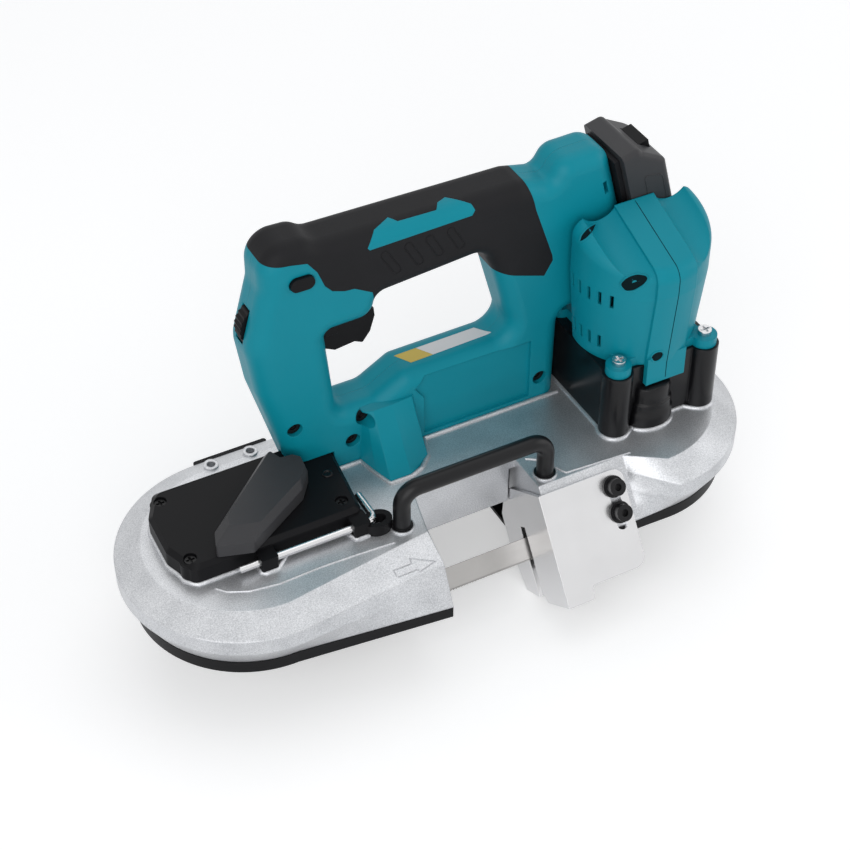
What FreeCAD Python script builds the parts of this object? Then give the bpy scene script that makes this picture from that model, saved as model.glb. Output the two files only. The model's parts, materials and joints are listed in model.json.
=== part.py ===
import FreeCAD, Part
import math
import os

# Portable band saw. X runs along the tool, Y away from the blade side, Z up.
# The model is laid out about the middle between the wheel axes, with z = 0 at the seam of the wheel guards,
# and every piece is moved at the end so that the origin is at the bottom centre of the whole saw.

V = FreeCAD.Vector
X_AXIS = V(1, 0, 0)
Y_AXIS = V(0, 1, 0)
Z_AXIS = V(0, 0, 1)

# Clearances shared by all pieces
OVERRUN = 1.0
SHAFT_GAP = 0.05
RUN_GAP = 0.3
SLIDE_GAP = 0.4

# Blade and wheels
BLADE_LENGTH = 730.0
BLADE_WIDTH = 13.0
BLADE_THICK = 0.5
BLADE_TWIST = 35.0
BLADE_LEAD = 12.0
WHEEL_RADIUS = 40.0
WHEEL_WIDTH = 11.0
WHEEL_DROP = 10.4
WHEEL_WEB = 4.0
WHEEL_RIM = 4.0
WHEEL_HUB_RADIUS = 13.0
WHEEL_HOLES = 6
WHEEL_HOLE_RADIUS = 5.0
TYRE_THICK = 1.6
TYRE_GAP = 0.12

# Cast deck
DECK_BOTTOM = 8.0
DECK_HEIGHT = 32.0
DECK_WALL = 5.0
DECK_TOP_WALL = 6.0
LOBE_RADIUS = 73.0
SKIRT_INSET = 8.0
BELT_LOW_RISE = 14.0
BELT_HIGH_RISE = 24.0
TOP_BEVEL_IN = 15.0
FRONT_REACH = 76.0
FRONT_DRAFT = 12.0
FRONT_BEVEL_IN = 31.0
THROAT_LEFT = 30.0
THROAT_LEFT_TAPER = 7.0
THROAT_RIGHT = 42.0
THROAT_BACK = 16.0
PLATE_LAND_END = 98.0
PLATE_LINE_Y = 46.0
PLATE_LINE_DROP = 4.0
ACCESSORY_SPACING = 24.5
ACCESSORY_HOLE_RADIUS = 2.5
ACCESSORY_BOSS_RADIUS = 4.4
ACCESSORY_BOSS_HEIGHT = 1.2
ACCESSORY_HOLE_DEPTH = 7.5
ACCESSORY_X = 102.0
ACCESSORY_Y = 60.0

# Wheel guards under the deck
GUARD_STRIP = 8.0
GUARD_RADIUS = 65.4
GUARD_BASE_RADIUS = 46.5
GUARD_FLOOR = 18.5
GUARD_WALL = 2.4
GUARD_WINDOW_RADIUS = 27.0
GUARD_FRONT_REACH = 75.5
GUARD_BASE_REACH = 53.0
GUARD_SCREW_RADIUS = 2.0
GUARD_SCREW_LENGTH = 12.0
GUARD_LUG_RADIUS = 7.0
GUARD_LUG_BITE = 0.6
REAR_GUARD_WIDTH = 26.0
BUMPER_THICK = 3.5
BUMPER_LENGTH = 46.0
BUMPER_HEIGHT = 9.0

# Front guard bar
BAR_RADIUS = 5.0
BAR_BEND = 10.0
BAR_RISE = 26.0
BAR_LEFT = 40.7
BAR_RIGHT = 50.9
BAR_Y = 35.0
BAR_ROOT = 5.0
COLLAR_RADIUS = 6.2
COLLAR_HEIGHT = 1.5

# Blade tension gear
SLIDER_LENGTH = 44.0
SLIDER_WIDTH = 30.0
SLIDER_HEIGHT = 13.0
SLIDER_STEM = 9.0
GUIDE_WALL = 5.0
GUIDE_LIP = 4.0
LEVER_X = 84.0
LEVER_Y = 14.0
LEVER_SWING = 65.0
CAM_MIDDLE = 270.0
CAM_ECCENTRIC = 4.5
CAM_RADIUS = 8.0
CAM_SHAFT_RADIUS = 5.0
CAM_PLAY = 0.6
ARM_WALL = 5.0
SPRING_RADIUS = 6.5
SPRING_WIRE = 2.0
SPRING_TURNS = 5
SPRING_LENGTH = 24.0
SPRING_WALL = 5.0
LEVER_HEIGHT = 13.0
LEVER_LENGTH = 72.0
LEVER_CROWN = 5.0
LEVER_CORNER = 1.5
AXLE_RADIUS = 6.0
AXLE_HEAD_RADIUS = 9.5
AXLE_HEAD = 3.0
BEARING_RADIUS = 11.0
BEARING_WIDTH = 8.0
BEARING_RACE = 2.2

# Tension cover and the key that it holds
COVER_THICK = 13.0
COVER_LENGTH = 116.0
COVER_DEPTH = 65.8
COVER_X = 167.0
COVER_Y = 23.5
COVER_WALL = 2.5
COVER_CORNER = 5.0
COVER_BEVEL = 2.5
SCREW_RADIUS = 3.4
SCREW_SHANK_RADIUS = 1.9
SCREW_HEAD = 2.6
SCREW_LENGTH = 12.0
SCREW_RECESS = 4.0
KEY_RADIUS = 2.3
KEY_LONG = 82.0
KEY_SHORT = 22.0
KEY_BEND = 5.0
KEY_RISE = 5.0

# Spindle, gears and motor
SPINDLE_RADIUS = 6.0
SPINDLE_BOSS_WALL = 4.0
SPINDLE_TIP_RADIUS = 2.6
GEAR_MODULE = 0.8
PINION_TEETH = 10
GEAR_TEETH = 40
GEAR_FACE = 7.0
GEAR_FLOOR_RISE = 5.0
GEAR_STEP = 4.0
GEAR_BORE_RADIUS = 4.0
LAYSHAFT_RADIUS = 2.5
LAYSHAFT_SEAT = 4.0
MOTOR_X = 134.0
MOTOR_Y = -3.0
MOTOR_SHAFT_RADIUS = 2.5
HOUSING_X = 134.5
HOUSING_Y = 10.5
EAR_HALF_X = 29.2
EAR_HALF_Y = 32.0
EAR_RADIUS = 7.5
EAR_SCREW_RADIUS = 2.2
EAR_SCREW_HEAD_RADIUS = 4.0
EAR_SCREW_HEAD = 3.2
GEARBOX_HEIGHT = 44.0
GEARBOX_HALF_X = 36.0
GEARBOX_FRONT = 34.0
GEARBOX_BACK = 36.0
GEARBOX_WALL = 3.0
GEARBOX_LID = 4.0
GEARBOX_CORNER = 8.0
MOTOR_FLANGE = 6.0
CAN_BASE_RADIUS = 36.0
CAN_RADIUS = 40.5
CAN_RISE = 77.0
CAN_SHOULDER = 34.0
CAN_TOP_FILLET = 8.0
CAN_TOP_SLOPE = 20.0
CAN_BACK = 8.0
SCOOP_RADIUS = 14.0
SCOOP_DEPTH = 4.5
SKIRT_DROP = 13.0
CAN_WALL = 2.6
BAND_WIDTH = 26.0
BAND_PROUD = 1.8
VENT_COUNT = 5
VENT_WIDTH = 2.2
VENT_HEIGHT = 9.0
VENT_STEP = 10.8
VENT_START = 174.0
STATOR_RADIUS = 18.5
STATOR_BORE_RADIUS = 11.5
STATOR_LENGTH = 26.0
COIL_COUNT = 9
ROTOR_RADIUS = 11.0
STATOR_LIFT = 12.0
MOTOR_BEARING_RADIUS = 6.5
MOTOR_BEARING_WIDTH = 5.0
FAN_RADIUS = 17.0
FAN_WIDTH = 8.0
FAN_BLADES = 9
FAN_BLADE_THICK = 1.4
FAN_GAP = 3.0

# Blade guides
GUIDE_LEFT = 44.0
GUIDE_RIGHT = 58.0
ROLLER_RADIUS = 4.5
ROLLER_BORE_RADIUS = 2.0
ROLLER_WIDTH = 4.0
ROLLER_GAP = 0.1
GUIDE_STEM = 20.0
PIN_HEAD = 0.6
GUIDE_LENGTH = 14.0
GUIDE_BODY_WALL = 5.0

# Stopper plate
PLATE_THICK = 2.5
PLATE_WIDTH = 52.0
PLATE_LENGTH = 68.0
PLATE_SHORT = 60.0
PLATE_NOTCH = 15.0
PLATE_FLANGE = 57.0
PLATE_FLANGE_SLOT = 6.0
PLATE_CORNER = 7.0
PLATE_TRAVEL = 7.0
PLATE_SLOT_WIDTH = 6.6
PLATE_SLOT_INSET = 41.0
PLATE_SLOT_TOP = 9.5
BOLT_SPACING = 15.5
BOLT_RADIUS = 3.0
BOLT_HEAD_RADIUS = 5.0
BOLT_HEAD = 5.5
BOLT_SOCKET_RADIUS = 2.2
BOLT_DEPTH = 8.0
WASHER_RADIUS = 6.5
WASHER_THICK = 1.4

# Handle
HANDLE_Y = 40.3
HANDLE_HALF = 16.0
HANDLE_LENGTH = 250.0
HANDLE_HEIGHT = 162.0
HANDLE_ROUND_SHARE = 0.0617
DOME_LENGTH = 29.0
LEG_GAP = 2.0
PANEL_DEPTH = 2.2
DOME_SLOT_WIDTH = 2.6
DOME_SLOT_LENGTH = 8.5
DOME_SLOT_IN = 8.0
DOME_SLOT_DROP = 23.0
DOME_SLOT_DEPTH = 6.0
SHELL_WALL = 2.6
GRIP_SKIN = 2.2
FOOT_REACH = 26.0
FOOT_HEIGHT = 36.0
FOOT_LENGTH = 40.0
FOOT_X = -37.0
FOOT_BITE = 4.0
INLAY_THICK = 0.8
INLAY_DEPTH = 12.0
INLAY_TOP_SHARE = 0.957
INLAY_BACK_SHARE = 0.06
HANDLE_SCREW_RADIUS = 4.2
HANDLE_SCREW_HEAD = 3.0
HANDLE_SCREW_SINK = 6.0

# Controls
TRIGGER_WIDTH = 15.0
TRIGGER_PIN_RADIUS = 2.0
TRIGGER_CHEEK = 2.0
TRIGGER_FRONT = 6.0
TRIGGER_LENGTH = 30.0
TRIGGER_HEIGHT = 19.0
SWITCH_LENGTH = 28.0
SWITCH_HEIGHT = 16.0
SWITCH_RISE = 30.0
LOCK_LENGTH = 14.0
LOCK_HEIGHT = 8.0
LOCK_PROUD = 2.0
LOCK_TRAVEL = 3.5
DIAL_RADIUS = 15.0
DIAL_WIDTH = 8.0
DIAL_PROUD = 1.6
DIAL_PIN_RADIUS = 2.0
DIAL_PIN_REACH = 12.0
DIAL_RIBS = 28
DIAL_RIB_DEPTH = 0.8
BOARD_LENGTH = 60.0
BOARD_WIDTH = 20.0
BOARD_THICK = 1.6
BOARD_PART_HEIGHT = 9.0
BOARD_RISE = 18.0
BOARD_X_SHARE = -0.02

# Battery
BATTERY_LEAN = 15.0
BATTERY_TOP_X = 121.0
BATTERY_DROP = 6.0
BATTERY_LENGTH = 106.0
BATTERY_WIDTH = 42.0
BATTERY_THICK = 26.0
BATTERY_SKIRT = 3.0
BATTERY_HEAD_DROP = 14.0
BATTERY_STEP = 12.0
BATTERY_WALL = 2.2
BATTERY_ROUND = 3.0
RAIL_WIDTH = 20.0
RAIL_HEIGHT = 9.0
RAIL_LENGTH = 58.0
RAIL_RISE = 8.0
CELL_RADIUS = 5.8
CELL_LENGTH = 62.0
CELLS_ACROSS = 3
RELEASE_WIDTH = 18.0
RELEASE_LENGTH = 7.0
RELEASE_HEIGHT = 5.0
RELEASE_TRAVEL = 2.5
RELEASE_LIP_DROP = 4.0

# Values that follow from the sizes above
HALF_SPAN = (BLADE_LENGTH - 2 * math.pi * WHEEL_RADIUS) / 4
DECK_TOP = DECK_BOTTOM + DECK_HEIGHT
CAVITY_TOP = DECK_TOP - DECK_TOP_WALL
PLATE_LINE_Z = DECK_TOP - PLATE_LINE_DROP
TWIST = math.radians(BLADE_TWIST)
PLATE_OUT = V(0, -math.cos(TWIST), math.sin(TWIST))
PLATE_DOWN = V(0, -math.sin(TWIST), -math.cos(TWIST))
PLATE_LINE = V(0, -PLATE_LINE_Y, PLATE_LINE_Z)
BLADE_MID = V(0, -WHEEL_RADIUS, -WHEEL_DROP)
TYRE_RADIUS = WHEEL_RADIUS - BLADE_THICK / 2 - TYRE_GAP
RIM_RADIUS = TYRE_RADIUS - TYRE_THICK
WHEEL_TOP = -WHEEL_DROP + WHEEL_WIDTH / 2
WHEEL_BOTTOM = -WHEEL_DROP - WHEEL_WIDTH / 2
IDLER = V(-HALF_SPAN, 0, 0)
DRIVE = V(HALF_SPAN, 0, 0)
LEVER = V(-LEVER_X, LEVER_Y, 0)
CAM_START = CAM_MIDDLE - LEVER_SWING / 2
TENSION_TRAVEL = 2 * CAM_ECCENTRIC * math.sin(math.radians(LEVER_SWING / 2))
CAN_SLOPE = math.radians(CAN_TOP_SLOPE)
HANDLE_ROUND = HANDLE_HEIGHT * HANDLE_ROUND_SHARE
LEAN = math.radians(BATTERY_LEAN)
BATTERY_OUT = V(math.cos(LEAN), 0, math.sin(LEAN))
BATTERY_UP = V(-math.sin(LEAN), 0, math.cos(LEAN))


def at_z(point, z):
    """The point of a vertical axis at one height."""
    return V(point.x, point.y, z)


def box(x0, x1, y0, y1, z0, z1):
    """A box between two opposite corners."""
    return Part.makeBox(x1 - x0, y1 - y0, z1 - z0, V(x0, y0, z0))


def rod(radius, start, end):
    """A round bar between two points."""
    return Part.makeCylinder(radius, (end - start).Length, start, end - start)


def tube(outer, inner, start, end):
    """A round bar with a bore."""
    reach = (end - start).normalize() * OVERRUN
    return rod(outer, start, end).cut(rod(inner, start - reach, end + reach))


def post(radius, axis, low, high):
    """A vertical round bar on an axis."""
    return rod(radius, at_z(axis, low), at_z(axis, high))


def ring(outer, inner, axis, low, high):
    """A vertical tube on an axis."""
    return tube(outer, inner, at_z(axis, low), at_z(axis, high))


def fuse(shapes):
    """One solid from pieces that meet."""
    return shapes[0].multiFuse(shapes[1:]).removeSplitter()


def prism(wire, sweep):
    """A closed flat outline swept along a vector."""
    return Part.Face(wire).extrude(sweep)


def rounded_wire(points, radii):
    """A closed flat outline whose corners are arcs of the given radii."""
    corners = []
    for index, corner in enumerate(points):
        radius = radii[index]
        if radius == 0:
            corners.append((corner, corner, None))
            continue
        back = (points[index - 1] - corner).normalize()
        ahead = (points[(index + 1) % len(points)] - corner).normalize()
        half = back.getAngle(ahead) / 2
        start = corner + back * (radius / math.tan(half))
        end = corner + ahead * (radius / math.tan(half))
        middle = corner + (back + ahead).normalize() * (radius / math.sin(half) - radius)
        corners.append((start, end, Part.Arc(start, middle, end).toShape()))
    edges = []
    for index, (start, end, arc) in enumerate(corners):
        if arc:
            edges.append(arc)
        following = corners[(index + 1) % len(corners)][0]
        if (following - end).Length > SHAFT_GAP / 100:
            edges.append(Part.LineSegment(end, following).toShape())
    return Part.Wire(edges)


def rounded_box(x0, x1, y0, y1, z0, z1, radius):
    """A box with its four upright edges rounded."""
    points = [V(x0, y0, z0), V(x1, y0, z0), V(x1, y1, z0), V(x0, y1, z0)]
    return prism(rounded_wire(points, [radius] * len(points)), V(0, 0, z1 - z0))


def plate_point(x, out, down):
    """A point in the tilted frame of the stopper plate and the twisted blade."""
    return V(x, 0, 0) + PLATE_LINE + PLATE_OUT * out + PLATE_DOWN * down


def blade_point(x, out, down):
    """A point in the tilted frame whose centre is the blade's middle line in the throat."""
    return V(x, 0, 0) + BLADE_MID + PLATE_OUT * out + PLATE_DOWN * down


def battery_point(y, out, up):
    """A point in the leaning frame of the battery, from the top of its seat on the handle."""
    top = V(BATTERY_TOP_X, HANDLE_Y, DECK_TOP + HANDLE_HEIGHT)
    return top + V(0, y, 0) + BATTERY_OUT * out + BATTERY_UP * up


def battery_block(y0, y1, out0, out1, up0, up1):
    """A block in the leaning frame of the battery."""
    base = [battery_point(y0, out0, up0), battery_point(y1, out0, up0)]
    base += [battery_point(y1, out1, up0), battery_point(y0, out1, up0)]
    return prism(Part.makePolygon(base + base[:1]), BATTERY_UP * (up1 - up0))


def plate_land(z):
    """How far forward the slanted seat of the stopper plate lies at one height."""
    return PLATE_LINE_Y + (PLATE_LINE_Z - z) * math.tan(TWIST)


def deck_wire(z, lobe, front, inset):
    """The deck's outline at one height: two lobes, a straight back and the throat."""
    land = plate_land(z) - inset
    corners = [
        V(-THROAT_LEFT - inset, -front, z),
        V(THROAT_LEFT_TAPER - THROAT_LEFT - inset, inset - THROAT_BACK, z),
        V(THROAT_RIGHT + inset, inset - THROAT_BACK, z),
        V(THROAT_RIGHT + inset, -land, z),
        V(PLATE_LAND_END - inset, -land, z),
        V(HALF_SPAN, -lobe, z),
    ]
    left_start = V(-HALF_SPAN, lobe, z)
    left_end = V(-HALF_SPAN, -lobe, z)
    right_end = V(HALF_SPAN, lobe, z)
    edges = [
        Part.LineSegment(right_end, left_start).toShape(),
        Part.Arc(left_start, V(-HALF_SPAN - lobe, 0, z), left_end).toShape(),
    ]
    for start, end in zip([left_end] + corners[:-1], corners):
        edges.append(Part.LineSegment(start, end).toShape())
    edges.append(Part.Arc(corners[-1], V(HALF_SPAN + lobe, 0, z), right_end).toShape())
    return Part.Wire(edges)


def deck_loft(levels):
    """A solid through outlines of the deck, given as height, lobe radius, front reach and inset."""
    return Part.makeLoft([deck_wire(*level) for level in levels], True, True)


def deck_shell():
    """The casting's outer form, open underneath."""
    skirt = LOBE_RADIUS - SKIRT_INSET
    belt_low = DECK_BOTTOM + BELT_LOW_RISE
    belt_high = DECK_BOTTOM + BELT_HIGH_RISE
    top = LOBE_RADIUS - TOP_BEVEL_IN
    draft_share = BELT_LOW_RISE / BELT_HIGH_RISE
    outer = deck_loft([
        (DECK_BOTTOM, skirt, FRONT_REACH, 0),
        (belt_low, LOBE_RADIUS, FRONT_REACH - FRONT_DRAFT * draft_share, 0),
        (belt_high, LOBE_RADIUS, FRONT_REACH - FRONT_DRAFT, 0),
        (DECK_TOP, top, FRONT_REACH - FRONT_BEVEL_IN, 0),
    ])
    wall = DECK_WALL
    inner = deck_loft([
        (DECK_BOTTOM - OVERRUN, skirt - wall, FRONT_REACH - wall, wall),
        (DECK_BOTTOM, skirt - wall, FRONT_REACH - wall, wall),
        (belt_low, LOBE_RADIUS - wall, FRONT_REACH - FRONT_DRAFT * draft_share - wall, wall),
        (belt_high - DECK_TOP_WALL, LOBE_RADIUS - wall, FRONT_REACH - FRONT_DRAFT - wall, wall),
        (CAVITY_TOP, top - wall, FRONT_REACH - FRONT_BEVEL_IN - wall, wall),
    ])
    return outer.cut(inner)


def guide_channel():
    """Two rails with lips under the deck that hold the tension slider, and the wall its spring rests on."""
    half = SLIDER_WIDTH / 2 + SLIDE_GAP
    low = CAVITY_TOP - SLIDER_HEIGHT - 2 * RUN_GAP
    x0 = IDLER.x - SLIDER_LENGTH / 2 - GUIDE_WALL
    x1 = arm_start() - 2 * GUIDE_WALL
    rails = box(x0, x1, -half - GUIDE_WALL, half + GUIDE_WALL, low - GUIDE_LIP, CAVITY_TOP)
    rails = rails.cut(box(x0 - OVERRUN, x1 + OVERRUN, -half, half, low, CAVITY_TOP + OVERRUN))
    slot = half - GUIDE_LIP
    rails = rails.cut(box(x0 - OVERRUN, x1 + OVERRUN, -slot, slot, low - GUIDE_LIP - OVERRUN, low + OVERRUN))
    seat_x = spring_end()
    wall_half = SPRING_RADIUS + SPRING_WIRE
    wall = box(seat_x, seat_x + SPRING_WALL, LEVER_Y - wall_half, LEVER_Y + wall_half, low, CAVITY_TOP)
    return rails, wall


def arm_start():
    """The left end of the slider's arm, where the cam works."""
    return LEVER.x - CAM_RADIUS - CAM_ECCENTRIC - ARM_WALL


def arm_end():
    """The right end of the slider's arm, where the spring presses."""
    return LEVER.x + CAM_RADIUS + CAM_ECCENTRIC + ARM_WALL


def spring_end():
    """The face of the wall in the deck that the spring rests on."""
    return arm_end() + SPRING_LENGTH + 2 * RUN_GAP


def accessory_points():
    """The two tapped bosses on the deck's back edge."""
    middle = V(-ACCESSORY_X, ACCESSORY_Y, 0)
    step = V(ACCESSORY_SPACING / 2, 0, 0)
    return [middle - step, middle + step]


def bar_points():
    """The feet of the front guard bar."""
    return [V(-BAR_LEFT, -BAR_Y, 0), V(BAR_RIGHT, -BAR_Y, 0)]


def bolt_x():
    """Where the stopper plate's slot and bolts lie along the tool."""
    return THROAT_RIGHT + PLATE_SLOT_INSET + PLATE_THICK


def bolt_downs():
    """How far down the slanted seat the two bolts lie."""
    return [PLATE_SLOT_TOP, PLATE_SLOT_TOP + BOLT_SPACING]


def guard_lugs():
    """The screw points that hold the wheel guards to the deck, as share of the guard's radius."""
    reach = GUARD_RADIUS - GUARD_WALL - GUARD_LUG_RADIUS + GUARD_LUG_BITE
    lugs = []
    for centre, side in ((IDLER, -1), (DRIVE, 1)):
        for turn in (-45, 0, 45):
            angle = math.radians(turn)
            lugs.append(centre + V(side * reach * math.cos(angle), reach * math.sin(angle), 0))
    return lugs


def make_deck_frame():
    """The cast deck with its bosses, rails and bores."""
    shell = deck_shell()
    rails, spring_wall = guide_channel()
    boss_radius = BEARING_RADIUS + SPINDLE_BOSS_WALL
    spindle_boss = post(boss_radius, DRIVE, DECK_BOTTOM, CAVITY_TOP + OVERRUN)
    pieces = [shell, rails, spring_wall, spindle_boss]
    for point in accessory_points():
        pieces.append(post(ACCESSORY_BOSS_RADIUS, point, CAVITY_TOP, DECK_TOP + ACCESSORY_BOSS_HEIGHT))
    for point in guard_lugs():
        pieces.append(post(GUARD_LUG_RADIUS, point, DECK_BOTTOM, CAVITY_TOP - OVERRUN))
    seat = BOLT_RADIUS * 2
    for down in bolt_downs():
        start = plate_point(bolt_x(), -OVERRUN, down)
        boss = rod(seat, start, start - PLATE_OUT * (BOLT_DEPTH + DECK_WALL))
        below = box(-HALF_SPAN, HALF_SPAN, -FRONT_REACH, FRONT_REACH, -FRONT_REACH, DECK_BOTTOM)
        pieces.append(boss.cut(below))
    pieces += [guide_pad(-1), guide_pad(1)]
    frame = fuse(pieces)
    cuts = [
        post(BEARING_RADIUS + SHAFT_GAP, DRIVE, DECK_BOTTOM - OVERRUN, DECK_BOTTOM + BEARING_WIDTH),
        post(BEARING_RADIUS - BEARING_RACE, DRIVE, DECK_BOTTOM, DECK_TOP + OVERRUN),
        post(CAM_SHAFT_RADIUS + SHAFT_GAP, LEVER, CAVITY_TOP - OVERRUN, DECK_TOP + OVERRUN),
    ]
    top = DECK_TOP + ACCESSORY_BOSS_HEIGHT
    for point in accessory_points():
        cuts.append(post(ACCESSORY_HOLE_RADIUS, point, top - ACCESSORY_HOLE_DEPTH, top + OVERRUN))
    for point in bar_points():
        cuts.append(post(BAR_RADIUS + SHAFT_GAP, point, DECK_TOP - BAR_ROOT, DECK_TOP + OVERRUN))
    for point in guard_lugs():
        cuts.append(post(GUARD_SCREW_RADIUS + SHAFT_GAP, point, DECK_BOTTOM - OVERRUN, screw_top()))
    for point in cover_screw_points():
        cuts.append(post(SCREW_SHANK_RADIUS + SHAFT_GAP, point, cover_screw_low(), DECK_TOP + OVERRUN))
    for point in ear_points():
        cuts.append(post(EAR_SCREW_RADIUS + SHAFT_GAP, point, DECK_TOP - DECK_TOP_WALL / 2,
                         DECK_TOP + OVERRUN))
    cuts.append(flange_relief())
    for down in bolt_downs():
        start = plate_point(bolt_x(), OVERRUN, down)
        cuts.append(rod(BOLT_RADIUS + SHAFT_GAP, start, plate_point(bolt_x(), -BOLT_DEPTH, down)))
    for cut in cuts:
        frame = frame.cut(cut)
    return frame


def screw_top():
    """The tip of the guard screws inside the deck."""
    return GUARD_SCREW_LENGTH + GUARD_WALL - GUARD_STRIP / 2 + DECK_BOTTOM / 2


def guard_wire(side, z, lobe, front):
    """The outline of one wheel guard at one height, open towards the throat."""
    end_x = -THROAT_LEFT if side < 0 else THROAT_RIGHT
    centre = side * HALF_SPAN
    lobe_front = V(centre, -lobe, z)
    lobe_back = V(centre, lobe, z)
    front_end = V(end_x, -front, z)
    back_end = V(end_x, lobe, z)
    return Part.Wire([
        Part.Arc(lobe_back, V(centre + side * lobe, 0, z), lobe_front).toShape(),
        Part.LineSegment(lobe_front, front_end).toShape(),
        Part.LineSegment(front_end, back_end).toShape(),
        Part.LineSegment(back_end, lobe_back).toShape(),
    ])


def make_wheel_guard(side):
    """A black guard: an upright strip under the deck, then a bowl round the wheel with an open middle."""
    front = GUARD_FRONT_REACH if side < 0 else plate_land(DECK_BOTTOM) - PLATE_THICK
    base_front = GUARD_BASE_REACH
    levels = [
        (DECK_BOTTOM, GUARD_RADIUS, front),
        (DECK_BOTTOM - GUARD_STRIP, GUARD_RADIUS, front),
        (-GUARD_FLOOR - GUARD_WALL, GUARD_BASE_RADIUS, base_front),
    ]
    outer = Part.makeLoft([guard_wire(side, *level) for level in levels], True, True)
    wall = GUARD_WALL
    hollow = [
        (DECK_BOTTOM + OVERRUN, GUARD_RADIUS - wall, front - wall),
        (DECK_BOTTOM - GUARD_STRIP, GUARD_RADIUS - wall, front - wall),
        (-GUARD_FLOOR, GUARD_BASE_RADIUS - wall, base_front - wall),
    ]
    inner = Part.makeLoft([guard_wire(side, *level) for level in hollow], True, True)
    throat_end = inner.copy()
    throat_end.translate(V(-side * OVERRUN, 0, 0))
    guard = outer.cut(inner).cut(throat_end)
    centre = DRIVE if side > 0 else IDLER
    guard = guard.cut(post(GUARD_WINDOW_RADIUS, centre, -GUARD_FLOOR - 2 * GUARD_WALL, OVERRUN - GUARD_FLOOR))
    lugs = [point for point in guard_lugs() if point.x * side > 0]
    low = DECK_BOTTOM - GUARD_STRIP
    guard = fuse([guard] + [post(GUARD_LUG_RADIUS, point, low, DECK_BOTTOM) for point in lugs])
    for point in lugs:
        guard = guard.cut(post(GUARD_SCREW_RADIUS + SHAFT_GAP, point, low - OVERRUN, DECK_BOTTOM + OVERRUN))
        guard = guard.cut(post(GUARD_SCREW_RADIUS * 2 + RUN_GAP, point, -GUARD_FLOOR - 2 * GUARD_WALL, low))
    return guard.cut(stopper_envelope())


def make_rear_blade_guard():
    """A channel under the bridge that covers the blade's return run."""
    half = REAR_GUARD_WIDTH / 2
    x0 = -THROAT_LEFT + RUN_GAP
    x1 = THROAT_RIGHT - RUN_GAP
    low = -GUARD_FLOOR
    outer = box(x0, x1, WHEEL_RADIUS - half, WHEEL_RADIUS + half, low - GUARD_WALL, DECK_BOTTOM)
    inner_half = half - GUARD_WALL
    inner = box(x0 - OVERRUN, x1 + OVERRUN, WHEEL_RADIUS - inner_half, WHEEL_RADIUS + inner_half, low,
                DECK_BOTTOM + OVERRUN)
    flange = box(x0, x1, WHEEL_RADIUS + half, LOBE_RADIUS - SKIRT_INSET, DECK_BOTTOM - GUARD_WALL,
                 DECK_BOTTOM)
    return fuse([outer.cut(inner), flange])


def make_guard_screws():
    """The screws of both wheel guards."""
    screws = []
    for point in guard_lugs():
        low = DECK_BOTTOM - GUARD_STRIP
        head = post(GUARD_SCREW_RADIUS * 2, point, low - GUARD_SCREW_RADIUS, low)
        screws.append(fuse([head, post(GUARD_SCREW_RADIUS, point, low, screw_top() - RUN_GAP)]))
    return Part.makeCompound(screws)


def make_rear_bumper():
    """Two rubber pads on the back of the casting."""
    pads = []
    belt_mid = DECK_BOTTOM + (BELT_LOW_RISE + BELT_HIGH_RISE) / 2
    for side in (-1, 1):
        middle = side * (HALF_SPAN - BUMPER_LENGTH / 2)
        pads.append(rounded_box(
            middle - BUMPER_LENGTH / 2, middle + BUMPER_LENGTH / 2, LOBE_RADIUS, LOBE_RADIUS + BUMPER_THICK,
            belt_mid - BUMPER_HEIGHT / 2, belt_mid + BUMPER_HEIGHT / 2, BUMPER_THICK / 2))
    return Part.makeCompound(pads)


def make_front_guard_bar():
    """A bent round bar that stands in two bores of the deck, with a collar at each foot."""
    left, right = bar_points()
    base = DECK_TOP - BAR_ROOT + RUN_GAP
    top = DECK_TOP + BAR_RISE
    bend = BAR_BEND
    share = 1 - math.sqrt(0.5)
    line_start = at_z(left, base)
    line_end = at_z(right, base)
    left_low = at_z(left, top - bend)
    left_high = at_z(left, top) + X_AXIS * bend
    right_high = at_z(right, top) - X_AXIS * bend
    right_low = at_z(right, top - bend)
    left_mid = at_z(left, top) + V(bend * share, 0, -bend * share)
    right_mid = at_z(right, top) + V(-bend * share, 0, -bend * share)
    path = Part.Wire([
        Part.LineSegment(line_start, left_low).toShape(),
        Part.Arc(left_low, left_mid, left_high).toShape(),
        Part.LineSegment(left_high, right_high).toShape(),
        Part.Arc(right_high, right_mid, right_low).toShape(),
        Part.LineSegment(right_low, line_end).toShape(),
    ])
    section = Part.Wire(Part.makeCircle(BAR_RADIUS, line_start, Z_AXIS))
    bar = path.makePipeShell([section], True, True)
    collars = [post(COLLAR_RADIUS, point, DECK_TOP, DECK_TOP + COLLAR_HEIGHT) for point in (left, right)]
    return fuse([bar] + collars)


def blade_section(x, twist):
    """The blade's cross-section at one place along the front run, turned by an angle."""
    down = V(0, -math.sin(twist), -math.cos(twist)) * (BLADE_WIDTH / 2)
    out = V(0, -math.cos(twist), math.sin(twist)) * (BLADE_THICK / 2)
    middle = V(x, 0, 0) + BLADE_MID
    points = [middle + out + down, middle + out - down, middle - out - down, middle - out + down]
    return Part.makePolygon(points + points[:1])


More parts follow.
